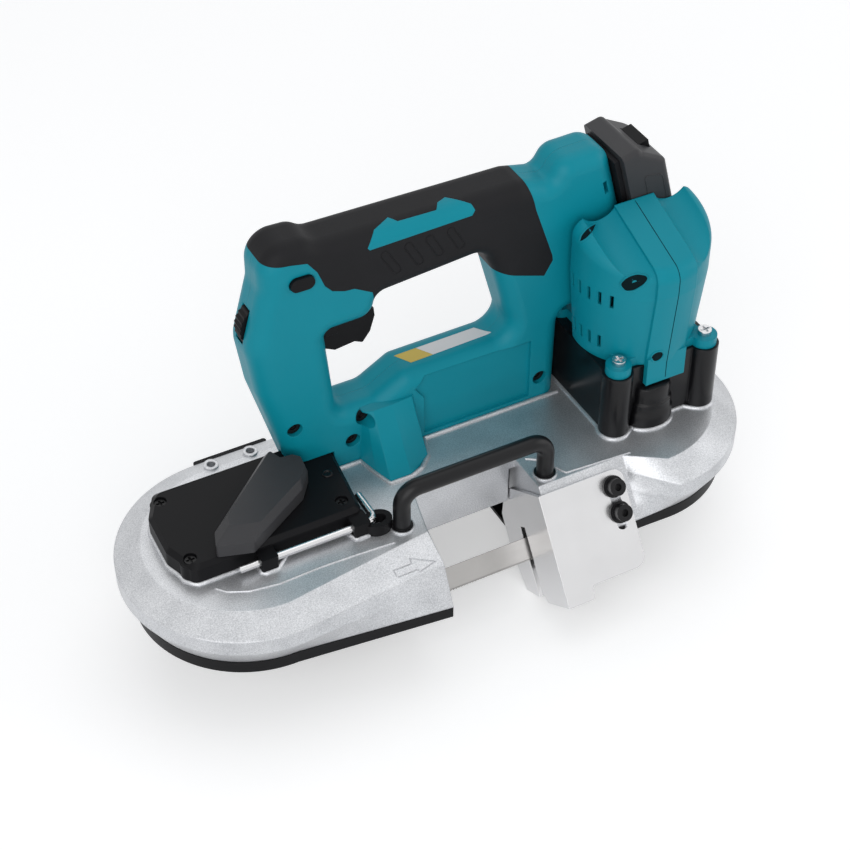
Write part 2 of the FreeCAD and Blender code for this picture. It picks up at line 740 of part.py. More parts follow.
def make_saw_blade():
    """An endless band round both wheels, twisted towards the work in the throat."""
    low = -WHEEL_DROP - BLADE_WIDTH / 2
    high = low + BLADE_WIDTH
    outer = WHEEL_RADIUS + BLADE_THICK / 2
    inner = WHEEL_RADIUS - BLADE_THICK / 2
    pieces = [box(-HALF_SPAN, HALF_SPAN, inner, outer, low, high)]
    for centre, side in ((IDLER, -1), (DRIVE, 1)):
        loop = ring(outer, inner, centre, low, high)
        far = centre.x + side * (outer + OVERRUN)
        half = box(min(centre.x, far), max(centre.x, far), -outer - OVERRUN, outer + OVERRUN, low, high)
        pieces.append(loop.common(half))
    start_x = HALF_SPAN - BLADE_LEAD
    runs = [(-HALF_SPAN, 0), (-start_x, 0), (-GUIDE_LEFT - GUIDE_LENGTH, TWIST)]
    runs += [(GUIDE_RIGHT + GUIDE_LENGTH, TWIST), (start_x, 0), (HALF_SPAN, 0)]
    for (start, first), (end, last) in zip(runs, runs[1:]):
        pieces.append(Part.makeLoft([blade_section(start, first), blade_section(end, last)], True, True))
    return pieces[0].multiFuse(pieces[1:])


def make_wheel(axis, bore):
    """A spoked wheel: rim, web with holes and hub."""
    rim = ring(RIM_RADIUS, RIM_RADIUS - WHEEL_RIM, axis, WHEEL_BOTTOM, WHEEL_TOP)
    web = post(RIM_RADIUS - WHEEL_RIM / 2, axis, -WHEEL_DROP - WHEEL_WEB / 2, -WHEEL_DROP + WHEEL_WEB / 2)
    hub = post(WHEEL_HUB_RADIUS, axis, WHEEL_BOTTOM, WHEEL_TOP)
    wheel = fuse([rim, web, hub])
    reach = (WHEEL_HUB_RADIUS + RIM_RADIUS - WHEEL_RIM) / 2
    for index in range(WHEEL_HOLES):
        angle = 2 * math.pi * index / WHEEL_HOLES
        place = axis + V(reach * math.cos(angle), reach * math.sin(angle), 0)
        wheel = wheel.cut(post(WHEEL_HOLE_RADIUS, place, WHEEL_BOTTOM, WHEEL_TOP))
    return wheel.cut(post(bore, axis, WHEEL_BOTTOM - OVERRUN, WHEEL_TOP + OVERRUN))


def make_tyre(axis):
    """The rubber band on a wheel's rim."""
    return ring(TYRE_RADIUS, RIM_RADIUS, axis, WHEEL_BOTTOM, WHEEL_TOP)


def gear_levels():
    """Heights of the two gear stages above the deck."""
    low = DECK_TOP + GEAR_FLOOR_RISE
    return low, low + GEAR_FACE + GEAR_STEP


def gear_distance():
    """The distance between meshing axes."""
    return GEAR_MODULE * (PINION_TEETH + GEAR_TEETH) / 2


def motor_axis():
    """The motor's axis in plan."""
    return V(MOTOR_X, MOTOR_Y, 0)


def layshaft_axis():
    """The layshaft's axis, one gear distance from both the spindle and the motor."""
    along = motor_axis() - DRIVE
    half = along.Length / 2
    side = V(-along.y, along.x, 0).normalize()
    return DRIVE + along * 0.5 + side * math.sqrt(gear_distance() ** 2 - half ** 2)


def gear(teeth, axis, low, face, aim, tooth_first):
    """A spur gear with backlash, turned so that a tooth or a gap points at the mating axis."""
    pitch = GEAR_MODULE * teeth / 2
    tip = pitch + GEAR_MODULE * 0.8
    root = pitch - GEAR_MODULE * 1.2
    step = 2 * math.pi / teeth
    toward = aim - axis
    start = math.atan2(toward.y, toward.x) + (0 if tooth_first else step / 2)
    points = []
    for index in range(teeth):
        middle = start + index * step
        for radius, share in ((root, -0.3), (tip, -0.11), (tip, 0.11), (root, 0.3)):
            angle = middle + share * step
            points.append(V(axis.x + radius * math.cos(angle), axis.y + radius * math.sin(angle), low))
    return prism(Part.makePolygon(points + points[:1]), V(0, 0, face))


def make_drive_spindle():
    """The shaft from the output gear down to the drive wheel."""
    low_stage, high_stage = gear_levels()
    body = post(SPINDLE_RADIUS, DRIVE, WHEEL_BOTTOM, low_stage)
    neck = post(GEAR_BORE_RADIUS, DRIVE, low_stage, low_stage + GEAR_FACE)
    collar = post(WHEEL_HUB_RADIUS - BEARING_RACE, DRIVE, WHEEL_TOP, WHEEL_TOP + AXLE_HEAD)
    tap = post(SPINDLE_TIP_RADIUS + SHAFT_GAP, DRIVE, WHEEL_BOTTOM - OVERRUN,
               WHEEL_BOTTOM + 2 * BEARING_WIDTH)
    return fuse([body, neck, collar]).cut(tap)


def make_drive_wheel_screw():
    """The screw and washer that hold the drive wheel on its spindle."""
    washer = post(AXLE_HEAD_RADIUS, DRIVE, WHEEL_BOTTOM - WASHER_THICK, WHEEL_BOTTOM)
    head = post(SPINDLE_TIP_RADIUS * 2, DRIVE, WHEEL_BOTTOM - WASHER_THICK - AXLE_HEAD / 2, WHEEL_BOTTOM)
    shank = post(SPINDLE_TIP_RADIUS, DRIVE, WHEEL_BOTTOM, WHEEL_BOTTOM + 2 * BEARING_WIDTH - RUN_GAP)
    return fuse([washer, head, shank])


def bearing(axis, inner, outer, low, width):
    """A ball bearing as one ring with a groove between its races on each side."""
    body = ring(outer, inner, axis, low, low + width)
    race = (outer - inner) / 3
    groove = ring(outer - race, inner + race, axis, low - OVERRUN, low + race / 2)
    return body.cut(groove)


def make_spindle_bearings():
    """The spindle's two bearings, in the deck's boss and above it in the gear housing's floor."""
    bore = SPINDLE_RADIUS + SHAFT_GAP
    width = BEARING_WIDTH - RUN_GAP
    lower = bearing(DRIVE, bore, BEARING_RADIUS, DECK_BOTTOM + RUN_GAP, width)
    upper = bearing(DRIVE, bore, BEARING_RADIUS - BEARING_RACE - SHAFT_GAP, CAVITY_TOP, width)
    return Part.makeCompound([lower, upper])


def make_output_gear():
    """The large gear on the spindle."""
    low, high = gear_levels()
    body = gear(GEAR_TEETH, DRIVE, low, GEAR_FACE, layshaft_axis(), True)
    return body.cut(post(GEAR_BORE_RADIUS, DRIVE, low - OVERRUN, low + GEAR_FACE + OVERRUN))


def make_layshaft():
    """The layshaft with its small pinion, held in the deck and in the gear housing's lid."""
    low, high = gear_levels()
    axis = layshaft_axis()
    pinion = gear(PINION_TEETH, axis, low - RUN_GAP, GEAR_FACE + GEAR_STEP / 2, DRIVE, False)
    shaft = post(LAYSHAFT_RADIUS, axis, DECK_TOP + GEARBOX_WALL - LAYSHAFT_SEAT / 2,
                 lid_low() + LAYSHAFT_SEAT / 2)
    return fuse([pinion, shaft])


def make_layshaft_gear():
    """The large gear on the layshaft, driven by the motor's pinion."""
    low, high = gear_levels()
    axis = layshaft_axis()
    body = gear(GEAR_TEETH, axis, high, GEAR_FACE, motor_axis(), True)
    return body.cut(post(LAYSHAFT_RADIUS, axis, high - OVERRUN, high + GEAR_FACE + OVERRUN))


def gearbox_top():
    """The joint between the gear housing and the motor housing."""
    return DECK_TOP + GEARBOX_HEIGHT


def lid_low():
    """The underside of the gear housing's lid."""
    return gearbox_top() - GEARBOX_LID


def ear_points():
    """The four screw points that hold the motor and gear housings to the deck."""
    points = []
    for x in (-EAR_HALF_X, EAR_HALF_X):
        for y in (-EAR_HALF_Y, EAR_HALF_Y):
            points.append(V(HOUSING_X + x, HOUSING_Y + y, 0))
    return points


def make_gear_housing():
    """The black housing over the gears, with a screw column at each corner."""
    x0 = HOUSING_X - GEARBOX_HALF_X
    x1 = HOUSING_X + GEARBOX_HALF_X
    y0 = HOUSING_Y - GEARBOX_FRONT
    y1 = HOUSING_Y + GEARBOX_BACK
    wall = GEARBOX_WALL
    body = rounded_box(x0, x1, y0, y1, DECK_TOP, gearbox_top(), GEARBOX_CORNER)
    columns = [post(EAR_RADIUS + wall / 2, point, DECK_TOP, gearbox_top()) for point in ear_points()]
    hollow = rounded_box(x0 + wall, x1 - wall, y0 + wall, y1 - wall, DECK_TOP + wall, lid_low(),
                         GEARBOX_CORNER - wall)
    keep = [post(EAR_SCREW_RADIUS + wall, point, DECK_TOP, gearbox_top()) for point in ear_points()]
    housing = fuse([fuse([body] + columns).cut(hollow)] + keep)
    cuts = [post(EAR_SCREW_RADIUS + SHAFT_GAP, p, DECK_TOP - OVERRUN,
                 gearbox_top() + OVERRUN) for p in ear_points()]
    cuts.append(post(BEARING_RADIUS - BEARING_RACE, DRIVE, DECK_TOP - OVERRUN, DECK_TOP + wall + OVERRUN))
    cuts.append(post(MOTOR_BEARING_RADIUS + SHAFT_GAP, motor_axis(), lid_low() - OVERRUN,
                     gearbox_top() + OVERRUN))
    seat = LAYSHAFT_SEAT / 2 + RUN_GAP
    axis = layshaft_axis()
    cuts.append(post(LAYSHAFT_RADIUS + SHAFT_GAP, axis, DECK_TOP + wall - seat, DECK_TOP + wall + OVERRUN))
    cuts.append(post(LAYSHAFT_RADIUS + SHAFT_GAP, axis, lid_low() - OVERRUN, lid_low() + seat))
    for cut in cuts:
        housing = housing.cut(cut)
    return housing


def can_low():
    """The top of the motor housing's flange."""
    return gearbox_top() + MOTOR_FLANGE


def can_back():
    """The flat at the back of the motor's can, which leaves room for the battery."""
    return HOUSING_Y + CAN_BACK


def can_top(y, depth):
    """The height of the can's slanted top at one place, less a depth measured square to it."""
    return can_low() + CAN_RISE - (can_back() - y) * math.tan(CAN_SLOPE) - depth / math.cos(CAN_SLOPE)


def can_form(inset, roof):
    """The motor housing's round can with a slanted, soft-edged top, shrunk by a wall and a roof."""
    reach = CAN_RADIUS + CAN_TOP_FILLET
    low = gearbox_top()
    high = can_top(HOUSING_Y + reach, 0)
    rim = CAN_RADIUS - inset
    shoulder = can_low() + CAN_RISE - CAN_SHOULDER - roof
    points = [V(0, 0, low), V(CAN_BASE_RADIUS - inset, 0, low), V(rim, 0, shoulder), V(rim, 0, high),
              V(0, 0, high)]
    form = Part.Face(Part.makePolygon(points + points[:1])).revolve(V(0, 0, 0), Z_AXIS, 360)
    form.translate(V(HOUSING_X, HOUSING_Y, 0))
    front = HOUSING_Y - reach
    back = HOUSING_Y + reach
    side = [V(HOUSING_X - reach, front, can_top(front, roof)),
            V(HOUSING_X - reach, back, can_top(back, roof))]
    side += [V(HOUSING_X - reach, back, high + reach), V(HOUSING_X - reach, front, high + reach)]
    form = form.cut(prism(Part.makePolygon(side + side[:1]), V(2 * reach, 0, 0)))
    rims = []
    for edge in form.Edges:
        extent = edge.BoundBox
        if extent.ZMin > shoulder + OVERRUN and extent.XLength > rim:
            rims.append(edge)
    return form.makeFillet(CAN_TOP_FILLET - inset, rims)


def can_solid(inset, roof):
    """The can, cut flat at the back to leave room for the battery."""
    reach = CAN_RADIUS + CAN_TOP_FILLET
    low = gearbox_top() - OVERRUN
    back = box(HOUSING_X - reach, HOUSING_X + reach, can_back() - inset, HOUSING_Y + 2 * reach, low,
               low + CAN_RISE + reach)
    return can_form(inset, roof).cut(back)


def scoop_cuts():
    """The two hollow channels that run down the slanted top beside the band."""
    half_width = math.sqrt(SCOOP_RADIUS ** 2 - (SCOOP_RADIUS - SCOOP_DEPTH) ** 2)
    aside = BAND_WIDTH / 2 + half_width
    lift = SCOOP_RADIUS - SCOOP_DEPTH
    front = HOUSING_Y - CAN_RADIUS - SCOOP_RADIUS
    back = can_back() + SCOOP_RADIUS
    cuts = []
    for side in (-1, 1):
        x = HOUSING_X + side * aside
        cuts.append(rod(SCOOP_RADIUS, V(x, front, can_top(front, -lift)), V(x, back, can_top(back, -lift))))
    return cuts


def vent_cuts():
    """Two rows of upright vent slots on the can's side that faces the handle."""
    cuts = []
    centre = V(HOUSING_X, HOUSING_Y, 0)
    for row_share, count in ((0.03, VENT_COUNT - 1), (0.455, VENT_COUNT)):
        z = can_low() + CAN_RISE * row_share
        for index in range(count):
            angle = VENT_START + index * VENT_STEP
            slot = box(CAN_BASE_RADIUS - 2 * CAN_WALL, CAN_RADIUS + OVERRUN, -VENT_WIDTH / 2,
                       VENT_WIDTH / 2, z,
                       z + VENT_HEIGHT)
            slot.rotate(V(0, 0, 0), Z_AXIS, angle)
            slot.translate(centre)
            cuts.append(slot)
    return cuts


def make_motor_housing():
    """The teal motor can with its screw ears, raised band, vents and the seats inside."""
    low = gearbox_top()
    axis = motor_axis()
    outer = can_solid(0, 0)
    for scoop in scoop_cuts():
        outer = outer.cut(scoop)
    band_x = BAND_WIDTH / 2
    reach = CAN_RADIUS + CAN_TOP_FILLET
    strip = box(HOUSING_X - band_x, HOUSING_X + band_x, HOUSING_Y - reach, can_back(), low - OVERRUN,
                low + CAN_RISE + reach)
    outer = outer.fuse(can_form(-BAND_PROUD, -BAND_PROUD).common(strip))
    skirt_front = HOUSING_Y - CAN_BASE_RADIUS - BAND_PROUD
    skirt_back = HOUSING_Y - GEARBOX_FRONT - RUN_GAP
    skirt = box(HOUSING_X - band_x, HOUSING_X + band_x, skirt_front, skirt_back, low - SKIRT_DROP, can_low())
    outer = outer.fuse(skirt)
    x0 = HOUSING_X - EAR_HALF_X
    x1 = HOUSING_X + EAR_HALF_X
    back = HOUSING_Y + EAR_HALF_Y
    flange = box(x0, x1, HOUSING_Y - EAR_HALF_Y, back + EAR_RADIUS, low, can_low())
    for point in ear_points():
        flange = flange.fuse(post(EAR_RADIUS, point, low, can_low()))
    outer = outer.fuse(flange)
    inner = can_solid(CAN_WALL, can_roof())
    floor = low + CAN_WALL
    inner = inner.cut(box(HOUSING_X - reach, HOUSING_X + reach, HOUSING_Y - reach, HOUSING_Y + reach,
                          low - OVERRUN,
                          floor))
    seat = STATOR_RADIUS + SHAFT_GAP
    inner = inner.cut(ring(seat + CAN_WALL / 2, seat, axis, low, stator_low() + STATOR_LENGTH / 2))
    inner = inner.cut(ring(seat, seat - CAN_WALL / 2, axis, low, stator_low()))
    top = can_low() + CAN_RISE
    cup = MOTOR_BEARING_RADIUS + SHAFT_GAP
    inner = inner.cut(ring(cup + CAN_WALL, cup, axis, bearing_high(), top))
    housing = outer.cut(inner)
    for cut in vent_cuts():
        housing = housing.cut(cut)
    housing = housing.cut(post(MOTOR_BEARING_RADIUS - CAN_WALL / 2, axis, low - OVERRUN, floor + OVERRUN))
    for point in ear_points():
        housing = housing.cut(post(EAR_SCREW_RADIUS + SHAFT_GAP, point, low - OVERRUN, can_low() + OVERRUN))
    return housing


def can_roof():
    """The thickness of the can's roof, which has the channels in it."""
    return CAN_WALL + SCOOP_DEPTH


def stator_low():
    """The bottom of the stator."""
    return gearbox_top() + STATOR_LIFT


def bearing_high():
    """The bottom of the motor's upper bearing, under the lowest part of the roof over it."""
    front = MOTOR_Y - MOTOR_BEARING_RADIUS - CAN_WALL
    return can_top(front, can_roof()) - MOTOR_BEARING_WIDTH - FAN_GAP


def make_motor_screws():
    """The four long screws through both housings into the deck."""
    screws = []
    for point in ear_points():
        head = post(EAR_SCREW_HEAD_RADIUS, point, can_low(), can_low() + EAR_SCREW_HEAD)
        slot = EAR_SCREW_RADIUS / 3
        bar_half = EAR_SCREW_HEAD_RADIUS * 0.7
        top = can_low() + EAR_SCREW_HEAD
        for half_x, half_y in ((bar_half, slot), (slot, bar_half)):
            head = head.cut(box(point.x - half_x, point.x + half_x, point.y - half_y, point.y + half_y,
                                top - EAR_SCREW_HEAD / 2, top + OVERRUN))
        shank = post(EAR_SCREW_RADIUS, point, DECK_TOP - DECK_TOP_WALL / 2 + RUN_GAP, can_low())
        screws.append(fuse([head, shank]))
    return Part.makeCompound(screws)


def make_motor_shaft():
    """The motor's shaft with the pinion at its lower end."""
    low, high = gear_levels()
    axis = motor_axis()
    pinion = gear(PINION_TEETH, axis, high - RUN_GAP, GEAR_FACE + GEAR_STEP / 2, layshaft_axis(), False)
    shaft = post(MOTOR_SHAFT_RADIUS, axis, high - RUN_GAP, bearing_high() + MOTOR_BEARING_WIDTH)
    return fuse([pinion, shaft])


def make_rotor():
    """The rotor on the motor's shaft."""
    return ring(ROTOR_RADIUS, MOTOR_SHAFT_RADIUS, motor_axis(), stator_low(), stator_low() + STATOR_LENGTH)


def make_stator():
    """The stator with its slots and windings, as one ring with a row of coil bulges."""
    axis = motor_axis()
    low = stator_low()
    body = ring(STATOR_RADIUS, STATOR_BORE_RADIUS, axis, low, low + STATOR_LENGTH)
    coil_reach = (STATOR_RADIUS + STATOR_BORE_RADIUS) / 2
    coil_radius = (STATOR_RADIUS - STATOR_BORE_RADIUS) * 0.28
    coils = []
    for index in range(COIL_COUNT):
        angle = 2 * math.pi * index / COIL_COUNT
        place = axis + V(coil_reach * math.cos(angle), coil_reach * math.sin(angle), 0)
        coils.append(post(coil_radius, place, low - CAN_WALL, low + STATOR_LENGTH + CAN_WALL))
    return fuse([body] + coils)


def make_motor_bearings():
    """The motor's two small bearings, in the gear housing's lid and under the can's top."""
    axis = motor_axis()
    inner = MOTOR_SHAFT_RADIUS + SHAFT_GAP
    lower = bearing(axis, inner, MOTOR_BEARING_RADIUS, gearbox_top() - MOTOR_BEARING_WIDTH + CAN_WALL / 2,
                    MOTOR_BEARING_WIDTH - CAN_WALL / 2)
    upper = bearing(axis, inner, MOTOR_BEARING_RADIUS, bearing_high() + RUN_GAP,
                    MOTOR_BEARING_WIDTH - RUN_GAP)
    return Part.makeCompound([lower, upper])


def make_cooling_fan():
    """The fan above the rotor."""
    axis = motor_axis()
    low = stator_low() + STATOR_LENGTH + CAN_WALL + FAN_GAP
    hub = ring(ROTOR_RADIUS * 0.6, MOTOR_SHAFT_RADIUS, axis, low, low + FAN_WIDTH)
    disc = ring(FAN_RADIUS, MOTOR_SHAFT_RADIUS, axis, low, low + FAN_BLADE_THICK)
    blades = []
    for index in range(FAN_BLADES):
        blade = box(ROTOR_RADIUS * 0.5, FAN_RADIUS, -FAN_BLADE_THICK / 2, FAN_BLADE_THICK / 2, low,
                    low + FAN_WIDTH)
        blade.rotate(V(0, 0, 0), Z_AXIS, 360.0 * index / FAN_BLADES)
        blade.translate(axis)
        blades.append(blade)
    return fuse([hub, disc] + blades)


def make_tension_slider():
    """The block that carries the idler's axle, with an arm and a window for the cam."""
    top = CAVITY_TOP - RUN_GAP
    low = top - SLIDER_HEIGHT
    half = SLIDER_WIDTH / 2
    body = box(IDLER.x - SLIDER_LENGTH / 2, IDLER.x + SLIDER_LENGTH / 2, -half, half, low, top)
    stem = post(SLIDER_STEM, IDLER, low - GUIDE_LIP, low)
    arm_half = CAM_RADIUS + CAM_ECCENTRIC + ARM_WALL
    arm = box(arm_start(), arm_end(), LEVER_Y - arm_half, LEVER_Y + arm_half, low, top)
    neck = box(IDLER.x, LEVER.x, max(-half, LEVER_Y - arm_half), half, low, top)
    window_x = CAM_RADIUS + CAM_PLAY
    window_y = CAM_RADIUS + CAM_ECCENTRIC + CAM_PLAY
    middle = LEVER.x - TENSION_TRAVEL / 2
    window = box(middle - window_x, middle + window_x, LEVER_Y - window_y, LEVER_Y + window_y, low - OVERRUN,
                 top + OVERRUN)
    slider = fuse([body, stem, arm, neck]).cut(window)
    return slider.cut(post(AXLE_RADIUS, IDLER, low - GUIDE_LIP - OVERRUN, top + OVERRUN))


def make_idler_axle():
    """The idler's axle, pressed into the slider, with a head under the wheel."""
    shaft = post(AXLE_RADIUS, IDLER, WHEEL_BOTTOM, CAVITY_TOP - 2 * RUN_GAP)
    head = post(AXLE_HEAD_RADIUS, IDLER, WHEEL_BOTTOM - RUN_GAP - AXLE_HEAD, WHEEL_BOTTOM - RUN_GAP)
    link = post(AXLE_RADIUS, IDLER, WHEEL_BOTTOM - RUN_GAP, WHEEL_BOTTOM)
    return fuse([shaft, link, head])


def make_idler_bearing():
    """The bearing in the idler wheel's hub."""
    low = -WHEEL_DROP - BEARING_WIDTH / 2
    return bearing(IDLER, AXLE_RADIUS + SHAFT_GAP, BEARING_RADIUS, low, BEARING_WIDTH)


def make_tension_cam():
    """The lever's shaft with its eccentric disc in the slider's window."""
    top = CAVITY_TOP - 2 * RUN_GAP
    angle = math.radians(CAM_START)
    centre = LEVER + V(math.cos(angle), math.sin(angle), 0) * CAM_ECCENTRIC
    disc = post(CAM_RADIUS, centre, top - SLIDER_HEIGHT + 2 * RUN_GAP, top)
    shaft = post(CAM_SHAFT_RADIUS, LEVER, top - RUN_GAP, lever_low() + LEVER_HEIGHT / 2)
    return fuse([disc, shaft])


def lever_low():
    """The underside of the tension lever."""
    return DECK_TOP + COVER_THICK + 2 * RUN_GAP


def lever_wire(z, grow):
    """The lever's plan: a wing from behind its pivot to a blunt tip, as shares of its length."""
    plan_shares = [(-0.11, 0.25), (-0.06, 0.115), (0.06, 0.10), (0.115, 0.04), (0.10, -0.08), (-0.02, -0.24),
                   (-0.58, -0.585), (-0.85, -0.50), (-0.80, -0.36)]
    points = [LEVER + V(x * LEVER_LENGTH * grow, y * LEVER_LENGTH * grow, z) for x, y in plan_shares]
    return rounded_wire(points, [LEVER_CORNER * grow] * len(points))


def make_tension_lever():
    """The dark lever on the cover, bevelled all round."""
    low = lever_low()
    mid = low + LEVER_HEIGHT - LEVER_CROWN
    body = prism(lever_wire(low, 1), V(0, 0, mid - low))
    crown = Part.makeLoft([lever_wire(mid, 1), lever_wire(low + LEVER_HEIGHT, 0.82)], True, True)
    lever = fuse([body, crown])
    return lever.cut(post(CAM_SHAFT_RADIUS, LEVER, low - OVERRUN, low + LEVER_HEIGHT / 2 + RUN_GAP))


def make_tension_spring():
    """The coil spring that pushes the slider outwards, as one unbroken wire."""
    start = arm_end() + RUN_GAP
    radius = SPRING_RADIUS - SPRING_WIRE / 2
    pitch = (SPRING_LENGTH - SPRING_WIRE) / SPRING_TURNS
    height = CAVITY_TOP - RUN_GAP - SLIDER_HEIGHT / 2
    centre = V(start + SPRING_WIRE / 2, LEVER_Y, height)
    points = []
    for index in range(SPRING_TURNS * 4 + 1):
        angle = math.pi / 2 * index
        points.append(centre + V(pitch * index / 4, radius * math.cos(angle), radius * math.sin(angle)))
    tangents = []
    for index in range(len(points)):
        angle = math.pi / 2 * index
        rise = pitch / (2 * math.pi)
        tangents.append(V(rise, -radius * math.sin(angle), radius * math.cos(angle)))
    curve = Part.BSplineCurve()
    curve.interpolate(Points=points, Tangents=tangents, TangentFlags=[True] * len(points))
    path = Part.Wire(curve.toShape())
    section = Part.Wire(Part.makeCircle(SPRING_WIRE / 2, points[0], tangents[0]))
    print("tension_spring least gap between turns", pitch - SPRING_WIRE)
    return path.makePipeShell([section], True, True)


def cover_screw_points():
    """The four corners where the cover is screwed to the deck, as shares of its plan."""
    corner_shares = [(0.10, 0.86), (0.08, 0.13), (0.865, 0.16), (0.885, 0.86)]
    return [V(COVER_LENGTH * x - COVER_X, COVER_DEPTH * y - COVER_Y, 0) for x, y in corner_shares]


def cover_screw_low():
    """The tip of the cover's screws in the deck."""
    return DECK_TOP + COVER_THICK - SCREW_RECESS - SCREW_LENGTH


def cover_wire(z, inset):
    """The cover's plan, as shares of its length and depth."""
    plan_shares = [(0.09, 1.0), (0.01, 0.74), (0.0, 0.31), (0.065, 0.0), (0.93, 0.0), (0.985, 0.79),
                   (0.985, 1.0)]
    middle = V(COVER_LENGTH / 2 - COVER_X, COVER_DEPTH / 2 - COVER_Y, z)
    points = []
    for x, y in plan_shares:
        point = V(COVER_LENGTH * x - COVER_X, COVER_DEPTH * y - COVER_Y, z)
        shift = V(1 - 2 * inset / COVER_LENGTH, 1 - 2 * inset / COVER_DEPTH, 0)
        points.append(middle + V((point.x - middle.x) * shift.x, (point.y - middle.y) * shift.y, 0))
    return rounded_wire(points, [COVER_CORNER] * len(points))


def make_tension_cover():
    """The black cover over the tension gear, with sunk screw seats and a clip for the key."""
    top = DECK_TOP + COVER_THICK
    body = prism(cover_wire(DECK_TOP, 0), V(0, 0, COVER_THICK - COVER_BEVEL))
    crown = Part.makeLoft([cover_wire(top - COVER_BEVEL, 0), cover_wire(top, COVER_BEVEL)], True, True)
    cover = fuse([body, crown])
    hollow = prism(cover_wire(DECK_TOP - OVERRUN, 2 * COVER_WALL), V(0, 0, COVER_THICK - COVER_WALL))
    seats = [post(SCREW_RADIUS + COVER_WALL, p, DECK_TOP, top - COVER_WALL) for p in cover_screw_points()]
    shaft_seat = post(CAM_SHAFT_RADIUS + COVER_WALL, LEVER, DECK_TOP, top - COVER_WALL)
    cover = fuse([cover.cut(hollow), shaft_seat] + seats)
    clip_x = key_start().x + KEY_LONG * 0.2
    tab_x = key_end().x
    for x in (clip_x, tab_x - KEY_BEND * 2):
        y0 = key_start().y - KEY_RADIUS - COVER_WALL
        clip = rounded_box(x - COVER_CORNER, x + COVER_CORNER, y0, COVER_WALL - COVER_Y, DECK_TOP,
                           DECK_TOP + KEY_RISE + 2 * KEY_RADIUS, COVER_WALL / 2)
        cover = fuse([cover, clip])
    cover = cover.cut(key_solid(KEY_RADIUS + SHAFT_GAP))
    for point in cover_screw_points():
        cover = cover.cut(post(SCREW_RADIUS + RUN_GAP, point, top - SCREW_RECESS, top + OVERRUN))
        cover = cover.cut(post(SCREW_SHANK_RADIUS + SHAFT_GAP, point, DECK_TOP - OVERRUN, top))
    return cover.cut(post(CAM_SHAFT_RADIUS + SHAFT_GAP, LEVER, DECK_TOP - OVERRUN, top + OVERRUN))


def make_cover_screws():
    """The cover's four cross-slot screws."""
    screws = []
    seat = DECK_TOP + COVER_THICK - SCREW_RECESS
    for point in cover_screw_points():
        head = post(SCREW_RADIUS, point, seat, seat + SCREW_HEAD)
        slot = SCREW_SHANK_RADIUS / 3
        half = SCREW_RADIUS * 0.7
        for half_x, half_y in ((half, slot), (slot, half)):
            head = head.cut(box(point.x - half_x, point.x + half_x, point.y - half_y, point.y + half_y,
                                seat + SCREW_HEAD / 2, seat + SCREW_HEAD + OVERRUN))
        screws.append(fuse([head, post(SCREW_SHANK_RADIUS, point, cover_screw_low() + RUN_GAP, seat)]))
    return Part.makeCompound(screws)


def key_start():
    """The free end of the key's long leg."""
    x = COVER_LENGTH * 0.98 - COVER_X - KEY_LONG
    return V(x, -COVER_Y - 2 * KEY_RADIUS, DECK_TOP + KEY_RISE)


def key_end():
    """The outer corner of the key."""
    return key_start() + X_AXIS * KEY_LONG


def key_solid(radius):
    """The bent key as a round bar of one radius."""
    start = key_start()
    corner = key_end()
    bend = KEY_BEND
    share = 1 - math.sqrt(0.5)
    first = corner - X_AXIS * bend
    second = corner + Y_AXIS * bend
    middle = corner + V(-bend * share, bend * share, 0)
    end = corner + Y_AXIS * KEY_SHORT
    path = Part.Wire([
        Part.LineSegment(start, first).toShape(),
        Part.Arc(first, middle, second).toShape(),
        Part.LineSegment(second, end).toShape(),
    ])
    return path.makePipeShell([Part.Wire(Part.makeCircle(radius, start, X_AXIS))], True, True)


def make_hex_key():
    """The bright key that changes the blade, clipped into the cover."""
    return key_solid(KEY_RADIUS)


def pad_low():
    """The underside of the pads that the blade guides hang from."""
    return DECK_BOTTOM + BELT_LOW_RISE / 2


def guide_x(side):
    """Where one blade guide stands along the tool."""
    return -GUIDE_LEFT if side < 0 else GUIDE_RIGHT


def guide_pad(side):
    """A pad under the deck that a blade guide hangs from."""
    x = guide_x(side)
    half = GUIDE_LENGTH / 2
    y0 = BLADE_MID.y + ROLLER_RADIUS
    return box(x - half, x + half, y0, y0 + GUIDE_STEM, pad_low(), CAVITY_TOP + OVERRUN)


def roller_offsets():
    """How far the side rollers and the back-up roller stand from the blade's middle line."""
    aside = BLADE_THICK / 2 + ROLLER_GAP + ROLLER_RADIUS
    behind = BLADE_WIDTH / 2 + ROLLER_GAP + ROLLER_RADIUS
    return aside, behind


def make_side_roller(side, face):
    """A roller on one face of the blade."""
    aside, behind = roller_offsets()
    half = ROLLER_WIDTH / 2
    low = blade_point(guide_x(side), face * aside, -half)
    high = blade_point(guide_x(side), face * aside, half)
    return tube(ROLLER_RADIUS, ROLLER_BORE_RADIUS + SHAFT_GAP, low, high)


def make_back_roller(side):
    """A roller behind the blade's back edge."""
    aside, behind = roller_offsets()
    half = ROLLER_WIDTH / 2
    low = blade_point(guide_x(side), -half, -behind)
    high = blade_point(guide_x(side), half, -behind)
    return tube(ROLLER_RADIUS, ROLLER_BORE_RADIUS + SHAFT_GAP, low, high)


def tilted_block(x0, x1, out0, out1, down0, down1):
    """A block in the blade's tilted frame."""
    base = [blade_point(x0, out0, down0), blade_point(x1, out0, down0)]
    base += [blade_point(x1, out1, down0), blade_point(x0, out1, down0)]
    return prism(Part.makePolygon(base + base[:1]), PLATE_DOWN * (down1 - down0))


